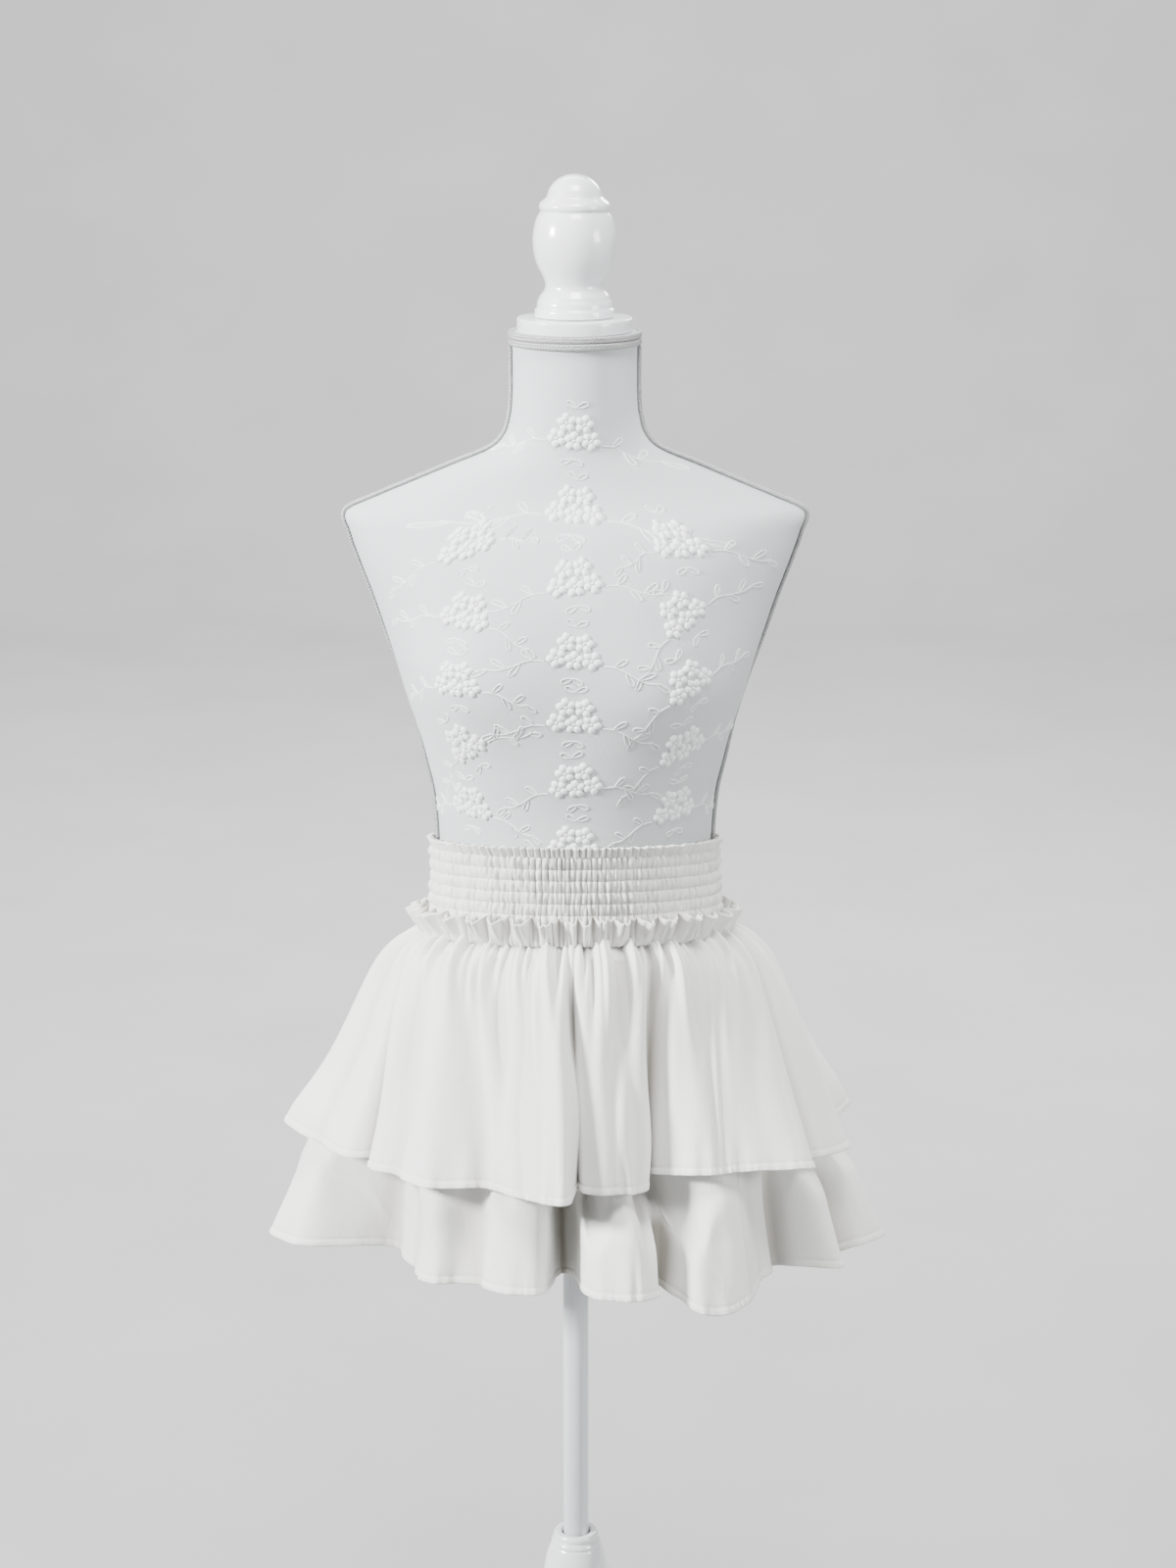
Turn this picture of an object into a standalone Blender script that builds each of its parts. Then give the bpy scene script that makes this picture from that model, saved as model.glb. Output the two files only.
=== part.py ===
"""Tiered ruffle skort worn by a limbless dress form on a turned wooden tripod stand.

Metres, +Z up. The pole stands on the Z axis, the floor is z = 0 and the front faces -Y.
Angles are seen from above, in degrees: 0 is +X, 90 the back, 180 is -X and 270 the front.
Heights in the tables are measured from the waist, so the whole figure moves with WAIST_Z.
"""
import math

import bmesh
import bpy
from mathutils import Vector

# Driving sizes
WAIST_Z = 1.010            # height of the form's waist, where the smocked band starts
SEAM_GAP = 0.0003          # what pieces that meet keep between them
GARMENT_TILT = 0.17        # the band rides up at the front: rise for each metre forwards

BAND_WALL = 0.0024         # smocked cloth with its elastic
CLOTH_WALL = 0.0015        # folded and hemmed skirt cloth
BAND_OUT = 0.0052          # middle of the band's wall, out from the form
BAND_BOTTOM = -0.0795      # gather seam at the sides
BAND_TOP_ROW = -0.0060     # highest row of elastic
BAND_FRILL = 0.0085        # frill above the highest row

HEADING_OUT = 0.0086       # gather line of the heading, out from the form
HEADING_HEIGHT = 0.0225
HEADING_FLARE = 0.0125
HEADING_WAVE = 0.0040
HEADING_FLUTES = 25

SIDE_SEAMS = (146.0, 326.0)  # the skort sits turned on the form

POLE_RADIUS = 0.0110
SOCKET_RADIUS = 0.0122
SOCKET_FLOOR_Z = 0.345
LEG_REACH = 0.209          # tip of a foot, from the axis
LEG_WIDTH = 0.020
LEG_ANGLES = (90.0, 210.0, 330.0)
COLUMN_RADIUS = 0.0285     # flat-sided stretch where the legs are fixed
BRAID_THICK = 0.0026
BRAID_WIDE = 0.0050
BRAID_END = -0.050         # the side braids run on to here under the band

# Dress form, a row for each level: height, half width, depth to the front, depth to the back
FORM_LEVELS = (
    (-0.215, 0.1330, 0.0930, 0.1020),
    (-0.206, 0.1365, 0.0970, 0.1060),
    (-0.186, 0.1380, 0.1000, 0.1090),
    (-0.150, 0.1370, 0.1000, 0.1090),
    (-0.110, 0.1280, 0.0960, 0.1030),
    (-0.075, 0.1165, 0.0910, 0.0965),
    (-0.040, 0.1128, 0.0870, 0.0890),
    (0.000, 0.1115, 0.0860, 0.0860),
    (0.041, 0.1145, 0.0890, 0.0870),
    (0.071, 0.1210, 0.0940, 0.0890),
    (0.105, 0.1285, 0.0990, 0.0920),
    (0.141, 0.1395, 0.1030, 0.0960),
    (0.176, 0.1520, 0.1030, 0.1000),
    (0.210, 0.1635, 0.0980, 0.1010),
    (0.234, 0.1725, 0.0900, 0.0990),
    (0.258, 0.1805, 0.0780, 0.0920),
    (0.274, 0.1830, 0.0660, 0.0820),
    (0.285, 0.1600, 0.0580, 0.0700),
    (0.298, 0.1290, 0.0525, 0.0600),
    (0.311, 0.0980, 0.0495, 0.0530),
    (0.3235, 0.0680, 0.0478, 0.0485),
    (0.335, 0.0560, 0.0475, 0.0475),
    (0.350, 0.0510, 0.0475, 0.0475),
    (0.369, 0.0493, 0.0475, 0.0475),
    (0.4168, 0.0493, 0.0475, 0.0475),
)
FORM_COLUMNS = 40
BUST_SIDE = 0.082          # centre of each bust mound: across, up, spread and rise
BUST_UP = 0.145
BUST_SPREAD = 0.050
BUST_RISE = 0.016
BUST_EDGE = 0.25           # the mounds fade out before the side seams

# Skirt layers. Hem reach follows an ellipse (side, front and back); each fold row gives its
# angle at the gather seam, how far its hem swings from there, its reach and its lift at the hem.
UPPER = {
    "out": 0.0086,
    "side": 0.228,
    "front": 0.178,
    "hem_z": -0.259,
    "hem_tilt": 0.09,
    "folds": (
        (4, -15, 0.229, 0.000),
        (10, -11, 0.207, 0.004),
        (18, -6, 0.240, 0.018),
        (28, -2, 0.212, 0.006),
        (39, -1, 0.224, 0.002),
        (50, 0, 0.186, -0.002),
        (61, 0, 0.203, 0.000),
        (73, 0, 0.168, -0.002),
        (84, 0, 0.187, 0.000),
        (95, 0, 0.163, -0.002),
        (106, 0, 0.184, 0.000),
        (117, 0, 0.166, -0.002),
        (128, 0, 0.201, 0.002),
        (139, 0, 0.174, 0.000),
        (150, 0, 0.216, 0.002),
        (161, 0, 0.198, 0.000),
        (172, 0, 0.233, 0.004),
        (178, 0, 0.238, 0.004),
        (183, 4, 0.214, 0.000),
        (187, 9, 0.206, 0.000),
        (190, 12, 0.198, 0.000),
        (193, 13, 0.166, 0.000),
        (196, 14, 0.196, 0.000),
        (204, 15, 0.190, 0.000),
        (216, 16, 0.197, 0.000),
        (230, 16, 0.173, 0.000),
        (246, 12, 0.193, 0.000),
        (260, 6, 0.205, 0.000),
        (264.5, 4, 0.198, 0.000),
        (268.5, 2.5, 0.140, 0.000),
        (273, 1.5, 0.171, 0.000),
        (284, -3, 0.177, 0.000),
        (298, -10, 0.176, 0.000),
        (305, -12, 0.138, 0.002),
        (311, -13, 0.174, 0.010),
        (321, -17, 0.198, 0.013),
        (330, -21, 0.199, 0.012),
        (338, -23, 0.214, 0.013),
        (345, -24, 0.233, 0.013),
        (350, -24.5, 0.236, 0.011),
        (354, -23, 0.200, 0.004),
        (359, -18, 0.214, 0.000),
    ),
}
LOWER = {
    "out": 0.0060,
    "side": 0.244,
    "front": 0.192,
    "hem_z": -0.352,
    "hem_tilt": 0.15,
    "folds": (
        (1.5, -12.5, 0.232, 0.000),
        (5, -9, 0.253, 0.000),
        (11, -8, 0.262, 0.000),
        (20, -7, 0.226, 0.002),
        (28, -4, 0.248, 0.000),
        (37, -2, 0.198, -0.002),
        (47, 0, 0.227, 0.000),
        (58, 0, 0.178, -0.002),
        (69, 0, 0.211, 0.000),
        (80, 0, 0.168, -0.002),
        (91, 0, 0.207, 0.000),
        (102, 0, 0.170, -0.002),
        (113, 0, 0.215, 0.000),
        (125, 0, 0.182, -0.002),
        (136, 0, 0.230, 0.000),
        (148, 0, 0.202, -0.002),
        (160, 0, 0.250, 0.000),
        (169, -1, 0.246, 0.000),
        (176, -1, 0.264, 0.000),
        (180, 1, 0.256, 0.000),
        (183, 4, 0.238, 0.000),
        (186, 3, 0.206, 0.000),
        (189, 1.5, 0.176, 0.000),
        (192.5, 0, 0.158, 0.000),
        (197, 1.5, 0.155, 0.000),
        (203, 9, 0.167, 0.000),
        (211, 12, 0.181, 0.000),
        (219, 13, 0.190, 0.000),
        (230, 12, 0.177, 0.000),
        (240, 11, 0.189, 0.000),
        (251, 9, 0.189, 0.000),
        (255, 8, 0.174, 0.000),
        (259, 4.5, 0.126, 0.000),
        (264, 2.5, 0.122, 0.000),
        (268, 3, 0.140, 0.000),
        (272, 1, 0.188, 0.000),
        (279, -1, 0.204, 0.000),
        (288, -4, 0.210, 0.000),
        (298, -8, 0.200, 0.000),
        (303, -9.5, 0.165, 0.000),
        (307, -12, 0.196, -0.006),
        (311, -14, 0.222, -0.013),
        (318, -15, 0.230, -0.014),
        (326, -17, 0.224, -0.008),
        (334, -18, 0.206, -0.002),
        (341, -16, 0.198, 0.000),
        (346, -17, 0.192, 0.000),
        (349, -18.5, 0.195, 0.000),
        (352, -20, 0.215, 0.000),
        (355, -21, 0.240, 0.000),
        (357, -19.5, 0.238, 0.000),
        (359.2, -16, 0.222, 0.000),
    ),
}
UPPER_ROWS = (0.0, 0.05, 0.14, 0.28, 0.44, 0.60, 0.80, 1.0)
LOWER_ROWS = (0.0, 0.05, 0.14, 0.28, 0.42, 0.57, 0.69, 0.83, 1.0)
SPRING_SHARE = 0.24        # share of its reach that a layer takes up where it leaves the gathers
SPRING_DROP = 0.06         # and over how much of its length
FOLD_EASE = 0.80           # folds deepen from the seam to the hem
LAYER_GAP = 0.0055         # the lower layer stays this far inside the upper one
GAP_START = 0.08           # from here down; it opens from nothing at the gathers
LEVEL_STEP = 0.008         # heights at which the upper layer's inside is worked out
SECTORS = 240              # and the number of sectors round the axis there
SECTOR_REACH = 2           # a sector's limit is the least of its neighbours' to this distance
RELEASE_START = 0.014      # drop below the upper hem from where the lower layer comes out again
HEM_RELEASE = 2.0          # and how fast, in reach for each metre of drop
SHORTS_CLEAR = (0.0045, 0.0100)  # the lower layer stays this far out from them: side, front and back

# Shorts, a row for each level: height, outer side, depth to the front and back, wrap in degrees.
# A wrap of 90 is the open rise, joined at the centre seam, and 180 a closed leg.
SHORTS_LEVELS = (
    (-0.112, 0.1350, 0.1030, 0.1105, 90),
    (-0.150, 0.1440, 0.1080, 0.1170, 90),
    (-0.190, 0.1460, 0.1080, 0.1170, 90),
    (-0.222, 0.1455, 0.1030, 0.1120, 90),
    (-0.240, 0.1450, 0.0980, 0.1060, 118),
    (-0.254, 0.1450, 0.0940, 0.1000, 150),
    (-0.266, 0.1450, 0.0915, 0.0960, 180),
    (-0.315, 0.1480, 0.0900, 0.0920, 180),
)
SHORTS_TOP = -0.100        # above this they taper in to the gather seam
SHORTS_OUT = 0.0042
SHORTS_CENTRE = -0.032     # the crotch sits beside the pole, which comes out of one leg
SHORTS_COLUMNS = 20
SHORTS_RISE_DEPTH = 0.090  # rough depth of the rise, which sets where its columns meet the band

# Turned pieces, a row for each point of the outline from the top down: radius, height
FINIAL_OUTLINE = (
    (0.0000, 0.5395), (0.0085, 0.5378), (0.0155, 0.5335), (0.0200, 0.5277), (0.0218, 0.5222),
    (0.0230, 0.5208), (0.0262, 0.5182), (0.0279, 0.5158), (0.0280, 0.5128), (0.0268, 0.5112),
    (0.0305, 0.5040), (0.0328, 0.4940), (0.0330, 0.4850), (0.0316, 0.4750), (0.0285, 0.4665),
    (0.0252, 0.4602), (0.0233, 0.4545), (0.0240, 0.4500), (0.0275, 0.4452), (0.0285, 0.4425),
    (0.0297, 0.4400), (0.0300, 0.4360), (0.0316, 0.4345), (0.0320, 0.4288), (0.0000, 0.4288),
)
COLUMN_OUTLINE = (
    (0.0000, SOCKET_FLOOR_Z), (SOCKET_RADIUS, SOCKET_FLOOR_Z), (SOCKET_RADIUS, 0.3800),
    (0.0135, 0.3815), (0.0178, 0.3815), (0.0193, 0.3795), (0.0195, 0.3770), (0.0186, 0.3758),
    (0.0205, 0.3740), (0.0217, 0.3718), (0.0208, 0.3700), (0.0222, 0.3680), (0.0255, 0.3590),
    (0.0283, 0.3440), (0.0300, 0.3250), (0.0292, 0.3050), (0.0255, 0.2820), (0.0215, 0.2620),
    (0.0200, 0.2480), (0.0250, 0.2440), (0.0270, 0.2400), (0.0270, 0.2360), (0.0245, 0.2320),
    (COLUMN_RADIUS, 0.2260), (COLUMN_RADIUS, 0.1300), (0.0250, 0.1260), (0.0180, 0.1190),
    (0.0215, 0.1100), (0.0200, 0.1000), (0.0120, 0.0930), (0.0000, 0.0910),
)
NECK_CAP = {"radius": 0.0459, "bottom": 0.4172, "top": 0.4285, "round": 0.0012}
NECK_BRAIDS = {"neck_braid_upper": 0.4150, "neck_braid_lower": 0.4096}


def material(name, colour, roughness, metallic=0.0):
    made = bpy.data.materials.new(name)
    made.use_nodes = True
    shader = made.node_tree.nodes["Principled BSDF"]
    shader.inputs["Base Color"].default_value = (*colour, 1.0)
    shader.inputs["Roughness"].default_value = roughness
    shader.inputs["Metallic"].default_value = metallic
    return made


def add_object(name, mesh, finish, sharp_degrees=40):
    mesh.materials.append(finish)
    mesh.shade_smooth()
    mesh.set_sharp_from_angle(angle=math.radians(sharp_degrees))
    made = bpy.data.objects.new(name, mesh)
    bpy.context.scene.collection.objects.link(made)
    return made


def mesh_from(name, points, faces):
    mesh = bpy.data.meshes.new(name)
    mesh.from_pydata([tuple(p) for p in points], [], faces)
    mesh.update()
    return mesh


def table_value(rows, column, x):
    """A smooth curve through one column of a table whose first column is x."""
    if x <= rows[0][0]:
        return rows[0][column]
    if x >= rows[-1][0]:
        return rows[-1][column]
    i = max(k for k in range(len(rows) - 1) if rows[k][0] <= x)

    def slope(k):
        low, high = max(k - 1, 0), min(k + 1, len(rows) - 1)
        return (rows[high][column] - rows[low][column]) / (rows[high][0] - rows[low][0])

    span = rows[i + 1][0] - rows[i][0]
    t = (x - rows[i][0]) / span
    start, end = rows[i][column], rows[i + 1][column]
    return (
        start * (1 + 2 * t) * (1 - t) ** 2
        + end * (3 - 2 * t) * t ** 2
        + span * slope(i) * t * (1 - t) ** 2
        - span * slope(i + 1) * t ** 2 * (1 - t)
    )


def all_round(folds):
    """A fold table with rows carried past a full turn at both ends."""
    before = tuple((row[0] - 360, *row[1:]) for row in folds[-3:])
    after = tuple((row[0] + 360, *row[1:]) for row in folds[:3])
    return before + tuple(folds) + after


def ellipse_radius(angle, side, front, back=None):
    depth = front if math.sin(angle) < 0 or back is None else back
    return 1 / math.hypot(math.cos(angle) / side, math.sin(angle) / depth)


def form_radius(angle, z):
    """Distance from the axis to the dress form's skin, at a height from the waist."""
    side, front, back = (table_value(FORM_LEVELS, column, z) for column in (1, 2, 3))
    radius = ellipse_radius(angle, side, front, back)
    across = abs(radius * math.cos(angle)) - BUST_SIDE
    up = z - BUST_UP
    ahead = min(max(-math.sin(angle) / BUST_EDGE, 0), 1)
    mound = BUST_RISE * math.exp(-(across ** 2 + up ** 2) / BUST_SPREAD ** 2)
    return radius + mound * ahead ** 2 * (3 - 2 * ahead)


def garment_ring(angle, level, out):
    """A point of a tilted ring round the form, a distance out from its skin."""
    z = level
    for _ in range(4):
        radius = form_radius(angle, z) + out
        z = level - GARMENT_TILT * radius * math.sin(angle)
    return radius, z


def polar(angle, radius, z):
    return Vector((radius * math.cos(angle), radius * math.sin(angle), WAIST_Z + z))


def layer_point(layer, root, t):
    """A skirt layer's place: root is its angle at the seam and t runs from the seam to the hem."""
    folds = all_round(layer["folds"])
    swing, reach, lift = (table_value(folds, column, root % 360) for column in (1, 2, 3))
    seam_angle = math.radians(root)
    hem_angle = math.radians(root + swing)
    seam = polar(seam_angle, *garment_ring(seam_angle, BAND_BOTTOM, layer["out"]))
    hem_z = layer["hem_z"] - layer["hem_tilt"] * reach * math.sin(hem_angle) + lift
    envelope = ellipse_radius(hem_angle, layer["side"], layer["front"])
    hem = polar(hem_angle, envelope, hem_z)
    straight = seam + (hem - seam) * t
    spring = SPRING_SHARE * (1 - math.exp(-t / SPRING_DROP) - t) * (envelope - seam.xy.length)
    outward = Vector((*straight.xy.normalized(), 0))
    fold = (reach - envelope) * t ** FOLD_EASE
    return straight + outward * spring + polar(hem_angle, fold, -WAIST_Z)


def sector_of(point):
    return math.atan2(point.y, point.x) / (2 * math.pi) * SECTORS % SECTORS


def upper_inside():
    """For each height, the upper layer's least reach in every sector round the axis."""
    roots = [360 * k / 900 for k in range(900)]
    ends = [(layer_point(UPPER, root, 0).z, layer_point(UPPER, root, 1).z) for root in roots]
    top, bottom = max(e[0] for e in ends), min(e[1] for e in ends) - 0.08
    levels = []
    for k in range(int((top - bottom) / LEVEL_STEP) + 2):
        z = top - k * LEVEL_STEP
        least = [1.0] * SECTORS
        for root, (seam_z, hem_z) in zip(roots, ends):
            t = (seam_z - z) / (seam_z - hem_z)
            point = layer_point(UPPER, root, min(max(t, 0), 1))
            release = HEM_RELEASE * max(hem_z - z - RELEASE_START, 0)
            sector = round(sector_of(point)) % SECTORS
            gap = LAYER_GAP * min(max(t / GAP_START, 0), 1)
            least[sector] = min(least[sector], point.xy.length - gap + release)
        spread = range(-SECTOR_REACH, SECTOR_REACH + 1)
        levels.append([min(least[(i + d) % SECTORS] for d in spread) for i in range(SECTORS)])
    return top, levels


def upper_limit(inside, point):
    """The largest reach that keeps the lower layer clear of the upper one at a point's height."""
    top, levels = inside
    level = min(max((top - point.z) / LEVEL_STEP, 0), len(levels) - 1.001)
    sector = sector_of(point)
    low, left = int(level), int(sector)
    right = (left + 1) % SECTORS
    across, down = sector - left, level - low
    above = levels[low][left] * (1 - across) + levels[low][right] * across
    below = levels[low + 1][left] * (1 - across) + levels[low + 1][right] * across
    return above * (1 - down) + below * down


def shorts_limit(angle, z):
    """The least reach that keeps the lower layer clear of the shorts."""
    if z > SHORTS_TOP:
        return 0.0
    levels = SHORTS_LEVELS[::-1]
    outer, front, back = (table_value(levels, column, z) for column in (1, 2, 3))
    side_clear, depth_clear = SHORTS_CLEAR
    return ellipse_radius(angle, outer + side_clear, front + depth_clear, back + depth_clear)


def upper_point(root, t):
    return layer_point(UPPER, root, t)


def lower_points():
    """The lower layer's own function of root and t, kept between the upper layer and the shorts."""
    inside = upper_inside()

    def lower_point(root, t):
        point = layer_point(LOWER, root, t)
        if t < LOWER_ROWS[1] / 2:
            return point
        angle, reach = math.atan2(point.y, point.x), point.xy.length
        kept = min(reach, upper_limit(inside, point))
        kept = max(kept, shorts_limit(angle, point.z - WAIST_Z))
        return Vector((point.x * kept / reach, point.y * kept / reach, point.z))

    return lower_point


def round_axis(point):
    """The level direction round the Z axis, anticlockwise, at a point."""
    return Vector((-point.y, point.x, 0)).normalized()


def pulled_in(rows):
    """Each row's two ends moved inwards by half the gap of a seam."""
    for row in rows:
        row[0] = row[0] + round_axis(row[0]) * SEAM_GAP / 2
        row[-1] = row[-1] - round_axis(row[-1]) * SEAM_GAP / 2
    return rows


def cloth(name, rows, wall, finish, sewn_row, round_seams=True):
    """A closed wall of cloth about a grid of points; rows run upwards, their points across.
    The edge of the sewn row is level, and with round_seams the end edges stand square to the
    garment, so that pieces can meet there. Both faces are cut into the same triangles, so that
    a wall can't pass through itself where it twists."""
    count, across = len(rows), len(rows[0])
    sewn = sewn_row % count

    def along(i, j):
        if round_seams and i in (0, across - 1):
            return round_axis(rows[j][i])
        return rows[j][min(i + 1, across - 1)] - rows[j][max(i - 1, 0)]

    def upwards(i, j):
        if j == sewn:
            return Vector((0, 0, 1))
        return rows[min(j + 1, count - 1)][i] - rows[max(j - 1, 0)][i]

    faces_out = [
        [along(i, j).cross(upwards(i, j)).normalized() * wall / 2 for i in range(across)]
        for j in range(count)
    ]
    points = [rows[j][i] + faces_out[j][i] for j in range(count) for i in range(across)]
    points += [rows[j][i] - faces_out[j][i] for j in range(count) for i in range(across)]
    other = count * across

    def corner(i, j):
        return j * across + i

    faces = []
    for j in range(count - 1):
        for i in range(across - 1):
            a, b, c, d = (corner(i, j), corner(i + 1, j), corner(i + 1, j + 1), corner(i, j + 1))
            rising = (rows[j][i] - rows[j + 1][i + 1]).length
            falling = (rows[j][i + 1] - rows[j + 1][i]).length
            halves = [(a, b, c), (a, c, d)] if rising < falling else [(a, b, d), (b, c, d)]
            for half in halves:
                faces.append(half)
                faces.append([other + k for k in reversed(half)])
    for j, start, end in ((0, 0, 1), (count - 1, 1, 0)):
        for i in range(across - 1):
            a, b = corner(i + start, j), corner(i + end, j)
            faces.append([other + a, other + b, b, a])
    for i, start, end in ((0, 1, 0), (across - 1, 0, 1)):
        for j in range(count - 1):
            a, b = corner(i, j + start), corner(i, j + end)
            faces.append([other + a, other + b, b, a])
    return add_object(name, mesh_from(name, points, faces), finish)


def loft(name, rings, finish):
    """A closed body through rings that run anticlockwise, from the lowest to the highest."""
    count = len(rings[0])
    points = [p for ring in rings for p in ring]
    faces = [list(reversed(range(count)))]
    for j in range(len(rings) - 1):
        for i in range(count):
            low, beside = j * count + i, j * count + (i + 1) % count
            faces.append([low, beside, beside + count, low + count])
    top = (len(rings) - 1) * count
    faces.append([top + i for i in range(count)])
    return add_object(name, mesh_from(name, points, faces), finish)


def panel_angles(start, end, folds):
    """Where a panel's columns stand: at each fold row and midway between them."""
    rows = sorted({row[0] + turn for row in folds for turn in (0, 360)})
    inside = [a for a in rows if start + 1 < a < end - 1]
    marks = [start, *inside, end]
    columns = []
    for a, b in zip(marks, marks[1:]):
        columns += [a, (a + b) / 2] if b - a > 2.4 else [a]
    return [*columns, end]


def build_layer(name, layer, point, heights, finish):
    for side, start in (("front", SIDE_SEAMS[0]), ("back", SIDE_SEAMS[1])):
        angles = panel_angles(start, start + 180, layer["folds"])
        rows = [[point(a, t) for a in angles] for t in reversed(heights)]
        cloth(f"{name}_{side}", pulled_in(rows), CLOTH_WALL, finish, sewn_row=-1)


def build_waistband(finish):
    """Smocked tube in two pieces, with its short frill turned out above the top elastic."""
    levels = (
        (BAND_BOTTOM + SEAM_GAP, BAND_OUT, 0.0),
        (BAND_BOTTOM * 0.5 + BAND_TOP_ROW * 0.5, BAND_OUT + 0.0004, 0.0),
        (BAND_TOP_ROW, BAND_OUT - 0.0002, 0.0),
        (BAND_TOP_ROW + BAND_FRILL, BAND_OUT + 0.0030, 0.0012),
    )
    columns = 30
    for side, start in (("front", SIDE_SEAMS[0]), ("back", SIDE_SEAMS[1])):
        rows = []
        for level, out, wave in levels:
            row = []
            for i in range(columns + 1):
                angle = math.radians(start + 180 * i / columns)
                radius, z = garment_ring(angle, level, out + wave * (-1) ** i)
                row.append(polar(angle, radius, z))
            rows.append(row)
        cloth(f"waistband_{side}", pulled_in(rows), BAND_WALL, finish, sewn_row=0)


def build_heading(finish):
    """The gathered skirt's own top edge, standing up and out from the gather seam in flutes."""
    columns = 40
    heights = (0.03, 0.35, 0.7, 1.0)
    for side, start in (("front", SIDE_SEAMS[0]), ("back", SIDE_SEAMS[1])):
        rows = []
        for t in heights:
            row = []
            for i in range(columns + 1):
                degrees = start + 180 * i / columns
                angle = math.radians(degrees)
                wave = math.sin(HEADING_FLUTES * angle + 1.7 * math.sin(3 * angle))
                out = HEADING_OUT + HEADING_FLARE * t ** 0.8 + HEADING_WAVE * wave * t
                radius, z = garment_ring(angle, BAND_BOTTOM + HEADING_HEIGHT * t, out)
                row.append(polar(angle, radius, z))
            rows.append(row)
        cloth(f"heading_{side}", pulled_in(rows), CLOTH_WALL, finish, sewn_row=0)


def build_shorts(finish):
    """Two legs, each one piece wrapped round from the front to the back centre seam."""
    for side, sign in (("left", -1), ("right", 1)):
        rows = []
        for z, outer, front, back, wrap in reversed(SHORTS_LEVELS):
            reach = sign * (outer * sign - SHORTS_CENTRE) - SEAM_GAP
            width = reach / (1 - math.cos(math.radians(wrap)))
            middle = -width * math.cos(math.radians(wrap)) + SEAM_GAP / 2
            row = []
            for i in range(SHORTS_COLUMNS + 1):
                turn = math.radians(wrap) * (2 * i / SHORTS_COLUMNS - 1)
                depth = front if turn < 0 else back
                across = max(middle + width * math.cos(turn), SEAM_GAP / 2)
                row.append(Vector((
                    SHORTS_CENTRE + sign * (across + CLOTH_WALL / 2),
                    depth * math.sin(turn),
                    WAIST_Z + z,
                )))
            rows.append(row)
        rows.append(shorts_top(sign))
        if sign < 0:
            rows = [list(reversed(row)) for row in rows]
        cloth(f"shorts_{side}", rows, CLOTH_WALL, finish, sewn_row=-1, round_seams=False)


def shorts_top(sign):
    """The edge that is sewn into the gather seam, on the tilted ring just under the band."""
    row = []
    centre = SHORTS_CENTRE + sign * (SEAM_GAP + CLOTH_WALL) / 2
    side, _ = garment_ring(0 if sign > 0 else math.pi, BAND_BOTTOM, SHORTS_OUT)
    for i in range(SHORTS_COLUMNS + 1):
        turn = math.pi / 2 * (2 * i / SHORTS_COLUMNS - 1)
        x = centre + (sign * side - centre) * math.cos(turn)
        y_sign = -1 if turn < 0 else 1
        angle = math.atan2(y_sign * SHORTS_RISE_DEPTH * abs(math.sin(turn)), x)
        radius, z = garment_ring(angle, BAND_BOTTOM - 0.001, SHORTS_OUT)
        row.append(polar(angle, radius, z))
    return row


def build_form(finish):
    rings = []
    for z, side, front, back in FORM_LEVELS:
        ring = []
        for i in range(FORM_COLUMNS):
            turn = 2 * math.pi * i / FORM_COLUMNS
            depth = front if math.sin(turn) < 0 else back
            angle = math.atan2(depth * math.sin(turn), side * math.cos(turn))
            ring.append(polar(angle, form_radius(angle, z), z))
        rings.append(ring)
    loft("form_body", rings, finish)


def braid_section(centre, outward, along):
    """Six points round a flat braid's middle line."""
    across = along.cross(outward).normalized()
    return [
        centre
        + outward * (BRAID_THICK / 2 * math.cos(turn))
        + across * (BRAID_WIDE / 2 * math.sin(turn))
        for turn in (math.pi / 3 * k for k in range(6))
    ]


def build_side_braids(finish):
    lift = SEAM_GAP + BRAID_THICK / 2
    levels = [row for row in FORM_LEVELS if BRAID_END < row[0] < 0.40] + [(0.4062, 0.0493)]
    for side, sign in (("right", 1), ("left", -1)):
        line = [Vector((sign * row[1], 0, WAIST_Z + row[0])) for row in levels]
        rings = []
        for k, point in enumerate(line):
            along = (line[min(k + 1, len(line) - 1)] - line[max(k - 1, 0)]).normalized()
            outward = Vector((sign * along.z, 0, -sign * along.x))
            rings.append(braid_section(point + outward * lift, outward, along))
        made = loft(f"side_braid_{side}", rings, finish)
        face_out(made)


def build_neck_braids(finish):
    for name, z in NECK_BRAIDS.items():
        _, side, depth, _ = FORM_LEVELS[-1]
        points, faces = [], []
        for i in range(FORM_COLUMNS):
            turn = 2 * math.pi * i / FORM_COLUMNS
            angle = math.atan2(depth * math.sin(turn), side * math.cos(turn))
            outward = Vector((math.cos(angle), math.sin(angle), 0))
            middle = form_radius(angle, z) + SEAM_GAP * 2 + BRAID_THICK / 2
            round_it = Vector((-outward.y, outward.x, 0))
            points += braid_section(polar(angle, middle, z), outward, round_it)
        for i in range(FORM_COLUMNS):
            here, there = 6 * i, 6 * ((i + 1) % FORM_COLUMNS)
            for k in range(6):
                k_next = (k + 1) % 6
                faces.append([here + k, here + k_next, there + k_next, there + k])
        face_out(add_object(name, mesh_from(name, points, faces), finish))


def face_out(made):
    shape = bmesh.new()
    shape.from_mesh(made.data)
    bmesh.ops.recalc_face_normals(shape, faces=shape.faces)
    shape.to_mesh(made.data)
    shape.free()


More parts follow.
